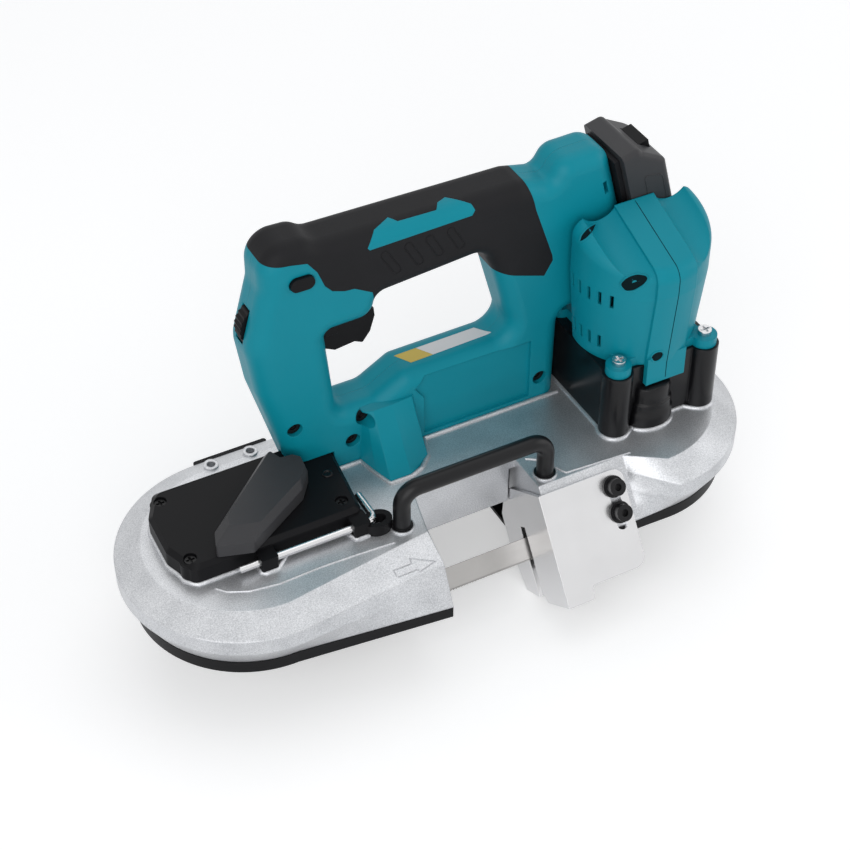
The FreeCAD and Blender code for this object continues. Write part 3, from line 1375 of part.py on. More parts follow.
def make_guide_block(side):
    """The bracket that carries one guide's three rollers on pins."""
    x = guide_x(side)
    aside, behind = roller_offsets()
    half = GUIDE_LENGTH / 2
    edge = ROLLER_WIDTH / 2 + RUN_GAP
    width = aside + ROLLER_BORE_RADIUS + GUIDE_BODY_WALL / 2
    top = behind + ROLLER_RADIUS + GUIDE_BODY_WALL
    body = tilted_block(x - half, x + half, -width, width, -top, -edge)
    y0 = BLADE_MID.y + ROLLER_RADIUS
    stem = box(x - half, x + half, y0, y0 + GUIDE_STEM, BLADE_MID.z + ROLLER_RADIUS + BLADE_WIDTH / 2,
               pad_low())
    block = fuse([body, stem])
    slot = BLADE_THICK / 2 + SLIDE_GAP * 2
    block = block.cut(tilted_block(x - half - OVERRUN, x + half + OVERRUN, -slot, slot, -behind,
                                   OVERRUN - edge))
    room = ROLLER_RADIUS + RUN_GAP
    pocket = tilted_block(x - room, x + room, -edge, edge, -behind - room, OVERRUN - edge)
    block = block.cut(pocket)
    pins = [rod(ROLLER_BORE_RADIUS, blade_point(x, -width + OVERRUN, -behind),
                blade_point(x, width - OVERRUN, -behind))]
    for face in (-1, 1):
        low = edge + PIN_HEAD
        pins.append(rod(ROLLER_BORE_RADIUS, blade_point(x, face * aside, -edge - OVERRUN),
                        blade_point(x, face * aside, low)))
        pins.append(rod(ROLLER_BORE_RADIUS * 1.3, blade_point(x, face * aside, edge),
                        blade_point(x, face * aside, low)))
    return fuse([block] + pins)


def tilted_prism(points, x0, x1):
    """An outline given as back-from-face and down, swept along the tool."""
    corners = [plate_point(x0, -back, down) for back, down in points]
    return prism(Part.makePolygon(corners + corners[:1]), X_AXIS * (x1 - x0))


def plate_face_block(x0, x1, out0, out1, down0, down1):
    """A block in the tilted frame of the stopper plate."""
    base = [plate_point(x0, out0, down0), plate_point(x1, out0, down0)]
    base += [plate_point(x1, out1, down0), plate_point(x0, out1, down0)]
    return prism(Part.makePolygon(base + base[:1]), PLATE_DOWN * (down1 - down0))


def make_stopper_plate():
    """The bent steel plate that the work rests against, slotted for its bolts and for the blade."""
    gap = SHAFT_GAP * 2
    x0 = THROAT_RIGHT - PLATE_THICK - RUN_GAP
    x1 = THROAT_RIGHT + PLATE_WIDTH
    step_x = THROAT_RIGHT + PLATE_NOTCH
    corners = [(x0, 0), (x1, 0), (x1, PLATE_SHORT), (step_x, PLATE_SHORT), (step_x, PLATE_LENGTH),
               (x0, PLATE_LENGTH)]
    radii = [0, PLATE_CORNER, PLATE_CORNER, PLATE_CORNER / 3, PLATE_CORNER / 3, 0]
    wire = rounded_wire([plate_point(x, gap, down) for x, down in corners], radii)
    face = prism(wire, PLATE_OUT * PLATE_THICK)
    side_shares = [(-0.03, 0), (0.62, -0.03), (0.80, 0.05), (0.98, 0.225), (1.0, 0.5), (0.965, 0.7),
                   (0.88, 0.93),
                   (0.64, 0.965), (0.48, 0.945), (0.43, 1.0), (-0.03, 1.0)]
    outline = [(PLATE_FLANGE * back, PLATE_LENGTH * down) for back, down in side_shares]
    flange = tilted_prism(outline, x0, x0 + PLATE_THICK)
    plate = fuse([face, flange])
    blade = BLADE_MID - PLATE_LINE
    back = -blade.dot(PLATE_OUT)
    top = blade.dot(PLATE_DOWN) - BLADE_WIDTH
    half = PLATE_FLANGE_SLOT / 2
    slot = plate_face_block(x0 - OVERRUN, x0 + PLATE_THICK + OVERRUN, -back - half, half - back, top,
                            PLATE_LENGTH + OVERRUN)
    half = PLATE_SLOT_WIDTH / 2
    low = PLATE_SLOT_TOP + BOLT_SPACING + PLATE_TRAVEL + RUN_GAP
    x = bolt_x()
    long_slot = plate_face_block(x - half, x + half, -OVERRUN, PLATE_THICK + OVERRUN,
                                 PLATE_SLOT_TOP - RUN_GAP, low)
    ends = []
    for down in (PLATE_SLOT_TOP - RUN_GAP, low):
        ends.append(rod(half, plate_point(x, -OVERRUN, down), plate_point(x, PLATE_THICK + OVERRUN, down)))
    for cut in [slot, long_slot] + ends:
        plate = plate.cut(cut)
    return plate


def make_stopper_bolts():
    """Two socket-head bolts with washers, screwed into the slanted seat of the deck."""
    bolts = []
    x = bolt_x()
    under = PLATE_THICK + SHAFT_GAP * 5
    for down in bolt_downs():
        washer = rod(WASHER_RADIUS, plate_point(x, under, down), plate_point(x, under + WASHER_THICK, down))
        top = under + WASHER_THICK + BOLT_HEAD
        head = rod(BOLT_HEAD_RADIUS, plate_point(x, under, down), plate_point(x, top, down))
        shank = rod(BOLT_RADIUS, plate_point(x, RUN_GAP - BOLT_DEPTH, down),
                    plate_point(x, under + OVERRUN, down))
        socket = rod(BOLT_SOCKET_RADIUS, plate_point(x, top - BOLT_HEAD / 2, down),
                     plate_point(x, top + OVERRUN, down))
        bolts.append(fuse([washer, head, shank]).cut(socket))
    return Part.makeCompound(bolts)


def stopper_envelope():
    """The space that the stopper plate sweeps, with clearance, taken out of what stands near it."""
    x0 = THROAT_RIGHT - PLATE_THICK - 3 * RUN_GAP
    x1 = THROAT_RIGHT + PLATE_WIDTH + RUN_GAP
    out1 = PLATE_THICK + BOLT_HEAD
    return plate_face_block(x0, x1, -RUN_GAP, out1, -PLATE_TRAVEL, PLATE_LENGTH + RUN_GAP)


def flange_relief():
    """The corner slot of the throat that the stopper plate's side moves in."""
    x0 = THROAT_RIGHT - PLATE_THICK - 3 * RUN_GAP
    return box(x0, THROAT_RIGHT, -THROAT_BACK - OVERRUN, DECK_WALL - THROAT_BACK + OVERRUN,
               DECK_BOTTOM - OVERRUN,
               CAVITY_TOP - OVERRUN)


def handle_x(share):
    """A place along the handle from its share of the length."""
    return HANDLE_LENGTH * share


def handle_z(share):
    """A height on the handle from its share of the height above the deck."""
    return DECK_TOP + HANDLE_HEIGHT * share


def handle_wire(shares, inset):
    """An outline in the handle's side view, from shares of its length and height and corner radii."""
    y = HANDLE_Y - HANDLE_HALF + abs(inset)
    points = [V(handle_x(x), y, handle_z(z)) for x, z, radius in shares]
    wire = rounded_wire(points, [HANDLE_ROUND * radius for x, z, radius in shares])
    if inset == 0:
        return wire
    return wire.makeOffset2D(-inset)


def leg_share():
    """The rear leg's back edge, in front of the gear housing, as a share of the handle's length."""
    column = EAR_HALF_X + EAR_RADIUS + GEARBOX_WALL / 2
    return (HOUSING_X - column - LEG_GAP) / HANDLE_LENGTH


def handle_outline():
    """The handle's side view: front post, grip, rear dome, battery seat and rear leg."""
    seat_low = -0.64
    drop = math.tan(LEAN) * HANDLE_HEIGHT * seat_low / HANDLE_LENGTH
    seat_top = BATTERY_TOP_X / HANDLE_LENGTH
    dome = DOME_LENGTH / HANDLE_LENGTH
    leg = leg_share()
    return [
        (-0.304, 0, 0), (-0.378, 0.409, 1.6), (-0.397, 0.611, 2.2), (-0.357, 0.833, 1.7), (-0.357, 1.0, 1.6),
        (-0.25, 0.993, 1.1), (-0.22, 0.962, 1.2), (seat_top - 1.9 * dome, 0.953, 1.2),
        (seat_top - 1.24 * dome, 0.926, 0.5), (seat_top - dome, 0.995, 1.2), (seat_top, 1.0, 1.1),
        (seat_top - drop, 1 + seat_low, 1.3), (leg + 0.018, 0.355, 0.4), (leg + 0.004, 0.32, 0.4),
        (leg, 0, 0),
    ]


def hand_hole():
    """The opening for the hand in the handle's side view."""
    return [
        (-0.213, 0.60, 0.4), (-0.098, 0.605, 1.12), (-0.085, 0.688, 0.6), (0.176, 0.722, 1.1),
        (0.207, 0.617, 0.9),
        (0.262, 0.31, 1.1), (-0.02, 0.305, 1.1), (-0.10, 0.235, 0.9), (-0.19, 0.235, 0.8),
    ]


def handle_solid(inset):
    """The handle's whole form with rounded edges, shrunk by an inset."""
    depth = 2 * (HANDLE_HALF - abs(inset))
    body = prism(handle_wire(handle_outline(), inset), V(0, depth, 0))
    y_front = HANDLE_Y - HANDLE_HALF + abs(inset)
    y_back = y_front + depth
    hole_wire = handle_wire(hand_hole(), -inset)
    hole = prism(hole_wire, V(0, depth, 0))
    body = body.cut(hole)
    edges = []
    for edge in body.Edges:
        ys = [vertex.Y for vertex in edge.Vertexes]
        low = min(vertex.Z for vertex in edge.Vertexes)
        flat = max(ys) - min(ys) < SHAFT_GAP
        beside = min(abs(ys[0] - y_front), abs(ys[0] - y_back)) < SHAFT_GAP
        if flat and beside and low > DECK_TOP + inset + OVERRUN:
            edges.append(edge)
    return body.makeFillet(HANDLE_ROUND - abs(inset), edges)


def side_prism(shares, y0, y1):
    """A flat outline in the handle's side view, swept across part of its width."""
    points = [V(handle_x(x), y0, handle_z(z)) for x, z in shares]
    return prism(Part.makePolygon(points + points[:1]), V(0, y1 - y0, 0))


def grip_region():
    """The part of the handle that is covered with soft black rubber."""
    shares = [
        (-0.43, 0.962), (-0.333, 0.942), (-0.294, 0.936), (-0.255, 0.923), (-0.233, 0.877), (-0.217, 0.812),
        (-0.20, 0.782), (-0.171, 0.766), (-0.148, 0.763), (-0.106, 0.725), (-0.10, 0.688), (-0.10, 0.62),
        (0.10, 0.66),
        (0.17, 0.68), (0.20, 0.625), (0.326, 0.556), (0.347, 0.612), (0.345, 0.635), (0.297, 0.849),
        (0.28, 0.953),
        (0.278, 1.06), (-0.43, 1.06),
    ]
    reach = HANDLE_HALF + OVERRUN
    return side_prism(shares, HANDLE_Y - reach, HANDLE_Y + reach)


def inlay_prism(side):
    """The hard insert's outline, seen square to the grip's top corner, swept into the grip."""
    shares = [
        (-0.115, 0.344), (-0.09, -0.175), (-0.047, -0.456), (-0.032, -0.219), (0.06, -0.194), (0.072, -0.438),
        (0.096, -0.55), (0.141, -0.044), (0.146, 0.194), (0.137, 0.338), (-0.11, 0.419),
    ]
    out = V(0, side, 1).normalize()
    down = V(0, side, -1).normalize()
    corner = V(0, HANDLE_Y + side * HANDLE_HALF, handle_z(INLAY_TOP_SHARE)) + out * OVERRUN
    points = []
    for x, fall in shares:
        if side > 0:
            fall = max(fall, INLAY_BACK_SHARE)
        points.append(corner + X_AXIS * handle_x(x) + down * (HANDLE_HALF * fall))
    return prism(Part.makePolygon(points + points[:1]), out * -INLAY_DEPTH)


def panel_pocket():
    """The sunk panel on the front of the handle's lower body."""
    shares = [(0.024, 0.277), (0.30, 0.277), (0.30, 0.02), (0.02, 0.02), (0.02, 0.185), (-0.004, 0.237)]
    front = HANDLE_Y - HANDLE_HALF
    return side_prism(shares, front - HANDLE_ROUND, front + PANEL_DEPTH)


def dome_slot():
    """The small upright slot on the front of the rear dome."""
    front = -HANDLE_HALF - OVERRUN
    half_width = DOME_SLOT_WIDTH / 2
    half_length = DOME_SLOT_LENGTH / 2
    return battery_block(front, front + DOME_SLOT_DEPTH, -DOME_SLOT_IN - half_width,
                         half_width - DOME_SLOT_IN,
                         -DOME_SLOT_DROP - half_length, half_length - DOME_SLOT_DROP)


def handle_screw_points():
    """The screws that join the two handle shells, in the side view."""
    shares = [(-0.304, 0.240), (-0.136, 0.19), (-0.164, 0.104), (leg_share() - 0.05, 0.092)]
    return [(handle_x(x), handle_z(z)) for x, z in shares]


def handle_screw_tip():
    """The tip of the handle's screws in the rear shell."""
    return HANDLE_Y + HANDLE_HALF - 2 * SHELL_WALL


def cross_rod(radius, x, z, y0, y1):
    """A round bar across the handle's width."""
    return rod(radius, V(x, y0, z), V(x, y1, z))


def trigger_pin():
    """The trigger's axis in the side view."""
    return handle_x(-0.196), handle_z(0.593)


def dial_axis():
    """The speed dial's axis in the side view."""
    z_share = 0.666
    edge = handle_x(-0.392)
    return edge - DIAL_PROUD + DIAL_RADIUS, handle_z(z_share)


def lock_axis():
    """The lock-off button's middle in the side view."""
    return handle_x(-0.27), handle_z(0.855)


def oval(x, z, length, height, y0, y1):
    """A bar with a rounded slot's section across the handle."""
    half = (length - height) / 2
    ends = [cross_rod(height / 2, x + side * half, z, y0, y1) for side in (-1, 1)]
    return fuse([box(x - half, x + half, y0, y1, z - height / 2, z + height / 2)] + ends)


def shell_cuts():
    """What is taken out of the handle for its controls, screws and neighbours."""
    reach = HANDLE_HALF + 2 * OVERRUN
    pin_x, pin_z = trigger_pin()
    half = TRIGGER_WIDTH / 2 + TRIGGER_CHEEK + 2 * SLIDE_GAP
    slot = box(pin_x - TRIGGER_FRONT - OVERRUN, pin_x + TRIGGER_LENGTH + 2 * OVERRUN, HANDLE_Y - half,
               HANDLE_Y + half,
               pin_z - TRIGGER_HEIGHT, pin_z + SWITCH_RISE)
    dial_x, dial_z = dial_axis()
    dial_half = DIAL_WIDTH / 2 + SLIDE_GAP
    dial = cross_rod(DIAL_RADIUS + 2 * SLIDE_GAP, dial_x, dial_z, HANDLE_Y - dial_half, HANDLE_Y + dial_half)
    lock_x, lock_z = lock_axis()
    lock = oval(lock_x, lock_z, LOCK_LENGTH + 2 * RUN_GAP, LOCK_HEIGHT + 2 * RUN_GAP, HANDLE_Y - reach,
                HANDLE_Y + reach)
    cuts = [slot, dial, lock]
    front = HANDLE_Y - HANDLE_HALF
    for x, z in handle_screw_points():
        cuts.append(cross_rod(HANDLE_SCREW_RADIUS + RUN_GAP, x, z, front - FOOT_REACH,
                              front + HANDLE_SCREW_SINK))
        cuts.append(cross_rod(SCREW_SHANK_RADIUS + SHAFT_GAP, x, z, front, handle_screw_tip()))
    cuts.append(cross_rod(DIAL_PIN_RADIUS + SHAFT_GAP, dial_x, dial_z, HANDLE_Y - DIAL_PIN_REACH - RUN_GAP,
                          HANDLE_Y + DIAL_PIN_REACH + RUN_GAP))
    cuts.append(prism(cover_wire(DECK_TOP - OVERRUN, -SLIDE_GAP), V(0, 0, COVER_THICK + OVERRUN + SLIDE_GAP)))
    cuts.append(terminal_slot())
    return Part.makeCompound(cuts)


def terminal_slot():
    """The opening in the battery seat that the terminal block stands in."""
    half = RAIL_WIDTH / 2
    low = rail_low()
    return battery_block(-half, half, -GRIP_SKIN, OVERRUN, low, low + RAIL_LENGTH)


def rail_low():
    """The lower end of the terminal block in the battery's frame."""
    return RAIL_RISE - BATTERY_DROP - BATTERY_LENGTH


def foot_fairing():
    """The slanted foot that carries the front of the handle's body down to the deck."""
    front = HANDLE_Y - HANDLE_HALF
    base_shares = [(0, 0), (0.08, 0.55), (0.17, 1), (0.5, 1), (0.9, 0.6), (1, 0)]
    top_shares = [(0.06, 0), (0.1, 0.06), (0.2, 0.1), (0.5, 0.1), (0.82, 0.06), (0.86, 0)]
    wires = []
    for z, shares in ((DECK_TOP, base_shares), (DECK_TOP + FOOT_HEIGHT, top_shares)):
        points = [V(FOOT_X + FOOT_LENGTH * x, front - FOOT_REACH * y, z) for x, y in shares]
        points = [V(points[0].x, front + FOOT_BITE, z)] + points + [V(points[-1].x, front + FOOT_BITE, z)]
        wires.append(Part.makePolygon(points + points[:1]))
    return Part.makeLoft(wires, True, True)


def handle_body():
    """Both shells as one hollow body with screw posts, before it is split."""
    outer = handle_solid(0)
    core = handle_solid(GRIP_SKIN)
    hollow = handle_solid(GRIP_SKIN + SHELL_WALL)
    skin = outer.common(grip_region()).cut(core)
    posts = []
    y0 = HANDLE_Y - HANDLE_HALF + SHELL_WALL
    y1 = HANDLE_Y + HANDLE_HALF - SHELL_WALL
    for x, z in handle_screw_points():
        posts.append(cross_rod(HANDLE_SCREW_RADIUS + SHELL_WALL / 2, x, z, y0, y1).common(outer))
    dial_x, dial_z = dial_axis()
    posts.append(cross_rod(DIAL_PIN_RADIUS + SHELL_WALL, dial_x, dial_z, y0, y1))
    ledge = box(handle_x(BOARD_X_SHARE), handle_x(BOARD_X_SHARE) + BOARD_LENGTH, y0, y1,
                DECK_TOP + BOARD_RISE - SHELL_WALL,
                DECK_TOP + BOARD_RISE)
    half = BOARD_WIDTH / 2 - SHELL_WALL
    ledge = ledge.cut(box(-HANDLE_LENGTH, HANDLE_LENGTH, HANDLE_Y - half, HANDLE_Y + half, DECK_TOP,
                          DECK_TOP + BOARD_RISE + OVERRUN))
    body = fuse([outer.cut(hollow), foot_fairing()] + posts + [ledge])
    body = body.cut(skin).cut(panel_pocket()).cut(dome_slot())
    return body.cut(shell_cuts()), skin


def split_half(shape, side):
    """One half of a shape, in front of or behind the handle's middle plane."""
    reach = HANDLE_LENGTH + FOOT_REACH
    y0, y1 = (HANDLE_Y - reach, HANDLE_Y) if side < 0 else (HANDLE_Y, HANDLE_Y + reach)
    return shape.common(box(-reach, reach, y0, y1, -reach, DECK_TOP + HANDLE_HEIGHT + reach))


def make_inlays():
    """The hard inserts in the rubber on both sides of the grip."""
    outer = handle_solid(0)
    under = handle_solid(INLAY_THICK)
    inlays = [outer.common(inlay_prism(side)).cut(under) for side in (-1, 1)]
    return Part.makeCompound(inlays)


def make_overmold(skin, inlays):
    """The black rubber skin of the grip, with pockets for its inserts."""
    return skin.cut(inlays).cut(shell_cuts())


def make_handle_screws():
    """The screws in the handle's front shell."""
    screws = []
    seat = HANDLE_Y - HANDLE_HALF + HANDLE_SCREW_SINK
    for x, z in handle_screw_points():
        head = cross_rod(HANDLE_SCREW_RADIUS, x, z, seat - HANDLE_SCREW_HEAD, seat)
        socket = cross_rod(HANDLE_SCREW_RADIUS / 2, x, z, seat - HANDLE_SCREW_HEAD - OVERRUN,
                           seat - HANDLE_SCREW_HEAD / 2)
        shank = cross_rod(SCREW_SHANK_RADIUS, x, z, seat, handle_screw_tip() - RUN_GAP)
        screws.append(fuse([head.cut(socket), shank]))
    return Part.makeCompound(screws)


def make_trigger():
    """The finger trigger on its pin."""
    pin_x, pin_z = trigger_pin()
    shares = [(-0.14, 0.02), (-0.02, 0.22), (0.9, 0.22), (0.92, -0.1), (0.82, -0.62), (0.66, -0.95),
              (0.5, -0.82), (0.1, -0.9),
              (-0.14, -0.7)]
    y0 = HANDLE_Y - TRIGGER_WIDTH / 2
    points = [V(pin_x + TRIGGER_LENGTH * x, y0, pin_z + TRIGGER_HEIGHT * z) for x, z in shares]
    body = prism(rounded_wire(points, [TRIGGER_PIN_RADIUS / 2] * len(points)), V(0, TRIGGER_WIDTH, 0))
    y1 = HANDLE_Y + TRIGGER_WIDTH / 2
    return body.cut(cross_rod(TRIGGER_PIN_RADIUS + SHAFT_GAP, pin_x, pin_z, y0 - OVERRUN, y1 + OVERRUN))


def make_switch_unit():
    """The switch above the trigger, with the cheeks that hold the trigger's pin."""
    pin_x, pin_z = trigger_pin()
    inner = TRIGGER_WIDTH / 2 + SLIDE_GAP
    outer = inner + TRIGGER_CHEEK
    top = pin_z + SWITCH_RISE
    low = pin_z - TRIGGER_PIN_RADIUS * 2
    pieces = [box(pin_x - TRIGGER_PIN_RADIUS, pin_x + SWITCH_LENGTH, HANDLE_Y - outer, HANDLE_Y + outer,
                  top - SWITCH_HEIGHT, top)]
    for y0, y1 in ((-outer, -inner), (inner, outer)):
        half = TRIGGER_PIN_RADIUS * 2
        pieces.append(box(pin_x - half, pin_x + half, HANDLE_Y + y0, HANDLE_Y + y1, low, top))
    pieces.append(cross_rod(TRIGGER_PIN_RADIUS, pin_x, pin_z, HANDLE_Y - outer, HANDLE_Y + outer))
    return fuse(pieces)


def make_lock_button():
    """The lock-off button, one bar through both shells."""
    x, z = lock_axis()
    return oval(x, z, LOCK_LENGTH, LOCK_HEIGHT, HANDLE_Y - HANDLE_HALF - LOCK_PROUD,
                HANDLE_Y + HANDLE_HALF - LOCK_TRAVEL)


def make_speed_dial():
    """The ribbed thumb wheel that sets the blade's speed."""
    x, z = dial_axis()
    y0 = HANDLE_Y - DIAL_WIDTH / 2
    points = []
    for index in range(DIAL_RIBS * 2):
        angle = math.pi * index / DIAL_RIBS
        radius = DIAL_RADIUS - (DIAL_RIB_DEPTH if index % 2 else 0)
        points.append(V(x + radius * math.cos(angle), y0, z + radius * math.sin(angle)))
    wheel = prism(Part.makePolygon(points + points[:1]), V(0, DIAL_WIDTH, 0))
    return fuse([wheel, cross_rod(DIAL_PIN_RADIUS, x, z, HANDLE_Y - DIAL_PIN_REACH,
                                  HANDLE_Y + DIAL_PIN_REACH)])


def make_controller_board():
    """The circuit board in the handle's body with its tallest components."""
    x0 = handle_x(BOARD_X_SHARE)
    low = DECK_TOP + BOARD_RISE
    half = BOARD_WIDTH / 2
    pieces = [box(x0, x0 + BOARD_LENGTH, HANDLE_Y - half, HANDLE_Y + half, low, low + BOARD_THICK)]
    for share, width_share in ((0.2, 0.5), (0.5, 0.7), (0.8, 0.4)):
        x = x0 + BOARD_LENGTH * share
        reach = half * width_share
        size = BOARD_LENGTH / 12
        pieces.append(box(x - size, x + size, HANDLE_Y - reach, HANDLE_Y + reach, low + BOARD_THICK / 2,
                          low + BOARD_PART_HEIGHT))
    return fuse(pieces)


def battery_seat():
    """Where the battery's inner face lies in front of the handle's seat."""
    return BATTERY_SKIRT + RUN_GAP


def battery_low():
    """The battery's lower end in its own frame."""
    return -BATTERY_DROP - BATTERY_LENGTH


def make_battery_seal():
    """The black frame between the handle and the battery."""
    half = HANDLE_HALF
    low = battery_low() + BATTERY_STEP
    ring_solid = battery_block(-half, half, 0, BATTERY_SKIRT, low, -HANDLE_ROUND)
    inner = RAIL_WIDTH / 2 + BATTERY_SKIRT
    return ring_solid.cut(battery_block(-inner, inner, -OVERRUN, BATTERY_SKIRT + OVERRUN, low - OVERRUN,
                                        rail_low() + RAIL_LENGTH + BATTERY_SKIRT))


def make_terminal_block():
    """The tool's battery terminals on their guide, which the pack slides over."""
    half = RAIL_WIDTH / 2 - SHAFT_GAP
    low = rail_low() + SHAFT_GAP
    block = battery_block(-half, half, SHAFT_GAP - GRIP_SKIN, RAIL_HEIGHT, low,
                          low + RAIL_LENGTH - 2 * SHAFT_GAP)
    for side in (-1, 1):
        middle = side * half / 2
        width = half / 8
        block = block.cut(battery_block(middle - width, middle + width, RAIL_HEIGHT / 2,
                                        RAIL_HEIGHT + OVERRUN, low - OVERRUN,
                                        low + RAIL_LENGTH * 0.6))
    return block


def battery_outline(inset):
    """The battery's side view: a hump beside the seat, a sloping head and a slanted lower end."""
    inner = battery_seat() + inset
    outer = battery_seat() + BATTERY_THICK - inset
    low = battery_low() + inset
    high = -BATTERY_DROP - inset
    drop = BATTERY_HEAD_DROP
    thick = outer - inner
    return [(inner, low), (outer - BATTERY_STEP / 3, low), (outer, low + BATTERY_STEP),
            (outer, high - 1.15 * drop),
            (outer - 0.12 * thick, high - 0.9 * drop), (inner + 0.5 * thick, high - 0.25 * drop),
            (inner + 0.42 * thick, high), (inner, high)]


def battery_prism(inset, corner):
    """The battery's form, shrunk by an inset, with its outer corners rounded."""
    half = BATTERY_WIDTH / 2 - inset
    points = [battery_point(-half, out, up) for out, up in battery_outline(inset)]
    radii = [0] + [corner] * (len(points) - 2) + [0]
    return prism(rounded_wire(points, radii), V(0, 2 * half, 0))


def release_place():
    """The release button's pocket in the battery's head: outwards, up and depth."""
    out = battery_seat() + BATTERY_THICK * 0.75
    return out, -BATTERY_DROP - BATTERY_HEAD_DROP * 0.69


def make_battery_case():
    """The pack's case with its groove for the terminals and a pocket for the button."""
    outer = battery_prism(0, 1.2 * BATTERY_ROUND)
    edges = [e for e in outer.Edges if abs(e.tangentAt(e.FirstParameter).y) < 0.1]
    inner_x = battery_seat()
    soft = []
    for edge in edges:
        mid = edge.valueAt((edge.FirstParameter + edge.LastParameter) / 2) - battery_point(0, 0, 0)
        if mid.dot(BATTERY_OUT) > inner_x + OVERRUN:
            soft.append(edge)
    outer = outer.makeFillet(BATTERY_ROUND, soft)
    groove_half = RAIL_WIDTH / 2 + SLIDE_GAP
    groove_top = rail_low() + RAIL_LENGTH + SLIDE_GAP
    low = battery_low()
    deep = RAIL_HEIGHT + SLIDE_GAP
    wall = BATTERY_WALL
    sleeve = battery_block(-groove_half - wall, groove_half + wall, inner_x, deep + wall, low,
                           groove_top + wall)
    case = fuse([outer.cut(battery_prism(wall, 0)), sleeve.common(outer)])
    case = case.cut(battery_block(-groove_half, groove_half, inner_x - OVERRUN, deep, low - OVERRUN,
                                  groove_top))
    out, up = release_place()
    half = RELEASE_WIDTH / 2 + RUN_GAP
    reach = RELEASE_LENGTH / 2 + RUN_GAP
    return case.cut(battery_block(-half, half, out - reach, out + reach, up - BATTERY_HEAD_DROP,
                                  up + BATTERY_HEAD_DROP))


def make_release_button():
    """The button in the battery's head that lets it slide off."""
    out, up = release_place()
    half = RELEASE_WIDTH / 2
    reach = RELEASE_LENGTH / 2
    head = battery_block(-half, half, out - reach, out + reach, up - RELEASE_HEIGHT, up + RELEASE_TRAVEL)
    lip = BATTERY_WALL
    base = battery_block(-half - lip, half + lip, out - reach, out + reach,
                         up - RELEASE_HEIGHT - BATTERY_WALL - RELEASE_LIP_DROP,
                         up - RELEASE_HEIGHT - RELEASE_LIP_DROP)
    stem = battery_block(-half, half, out - reach, out + reach,
                         up - RELEASE_HEIGHT - RELEASE_LIP_DROP - OVERRUN, up - RELEASE_HEIGHT + OVERRUN)
    return fuse([head, base, stem])


def make_battery_cells():
    """The row of cells in the battery, with their end plates."""
    sleeve = RAIL_HEIGHT + SLIDE_GAP + BATTERY_WALL
    out = (sleeve + battery_seat() + BATTERY_THICK - BATTERY_WALL) / 2
    low = battery_low() + BATTERY_STEP + 2 * BATTERY_WALL
    pitch = 2 * CELL_RADIUS + RUN_GAP
    cells = []
    for index in range(CELLS_ACROSS):
        y = (index - (CELLS_ACROSS - 1) / 2) * pitch
        cells.append(rod(CELL_RADIUS, battery_point(y, out, low), battery_point(y, out, low + CELL_LENGTH)))
    half = BATTERY_WIDTH / 2 - BATTERY_WALL - SHAFT_GAP
    size = CELL_RADIUS / 2
    for up in (low - BATTERY_WALL, low + CELL_LENGTH):
        cells.append(battery_block(-half, half, out - size, out + size, up, up + BATTERY_WALL))
    return fuse(cells)


def build_all():
    """Every piece by its name, in the layout frame."""
    body, skin = handle_body()
    inlays = make_inlays()
    parts = {
        "deck_frame": make_deck_frame(),
        "left_wheel_guard": make_wheel_guard(-1),
        "right_wheel_guard": make_wheel_guard(1),
        "rear_blade_guard": make_rear_blade_guard(),
        "guard_screws": make_guard_screws(),
        "rear_bumper": make_rear_bumper(),
        "front_guard_bar": make_front_guard_bar(),
        "tension_cover": make_tension_cover(),
        "tension_cover_screws": make_cover_screws(),
        "tension_lever": make_tension_lever(),
        "tension_cam": make_tension_cam(),
        "tension_slider": make_tension_slider(),
        "tension_spring": make_tension_spring(),
        "hex_key": make_hex_key(),
        "idler_axle": make_idler_axle(),
        "idler_bearing": make_idler_bearing(),
        "idler_wheel": make_wheel(IDLER, BEARING_RADIUS),
        "idler_tyre": make_tyre(IDLER),
        "drive_wheel": make_wheel(DRIVE, SPINDLE_RADIUS),
        "drive_tyre": make_tyre(DRIVE),
        "drive_wheel_screw": make_drive_wheel_screw(),
        "drive_spindle": make_drive_spindle(),
        "spindle_bearings": make_spindle_bearings(),
        "output_gear": make_output_gear(),
        "layshaft": make_layshaft(),
        "layshaft_gear": make_layshaft_gear(),
        "gear_housing": make_gear_housing(),
        "motor_housing": make_motor_housing(),
        "motor_housing_screws": make_motor_screws(),
        "motor_shaft": make_motor_shaft(),
        "rotor": make_rotor(),
        "stator": make_stator(),
        "motor_bearings": make_motor_bearings(),
        "cooling_fan": make_cooling_fan(),
        "saw_blade": make_saw_blade(),
        "stopper_plate": make_stopper_plate(),
        "stopper_bolts": make_stopper_bolts(),
        "handle_front_shell": split_half(body, -1),
        "handle_rear_shell": split_half(body, 1),
        "grip_overmold": make_overmold(skin, inlays),
        "grip_inlays": inlays,
        "handle_screws": make_handle_screws(),
        "trigger": make_trigger(),
        "switch_unit": make_switch_unit(),
        "lock_off_button": make_lock_button(),
        "speed_dial": make_speed_dial(),
        "controller_board": make_controller_board(),
        "battery_seal": make_battery_seal(),
        "battery_terminal_block": make_terminal_block(),
        "battery_case": make_battery_case(),
        "battery_release_button": make_release_button(),
        "battery_cells": make_battery_cells(),
    }
    for side, name in ((-1, "left"), (1, "right")):
        parts[name + "_guide_block"] = make_guide_block(side)
        parts[name + "_inner_roller"] = make_side_roller(side, -1)
        parts[name + "_outer_roller"] = make_side_roller(side, 1)
        parts[name + "_back_roller"] = make_back_roller(side)
    return parts


def frame_shift(parts):
    """The move that puts the origin at the bottom centre of the whole saw."""
    whole = Part.makeCompound(list(parts.values())).optimalBoundingBox(False)
    return V(-(whole.XMin + whole.XMax) / 2, -(whole.YMin + whole.YMax) / 2, -whole.ZMin)


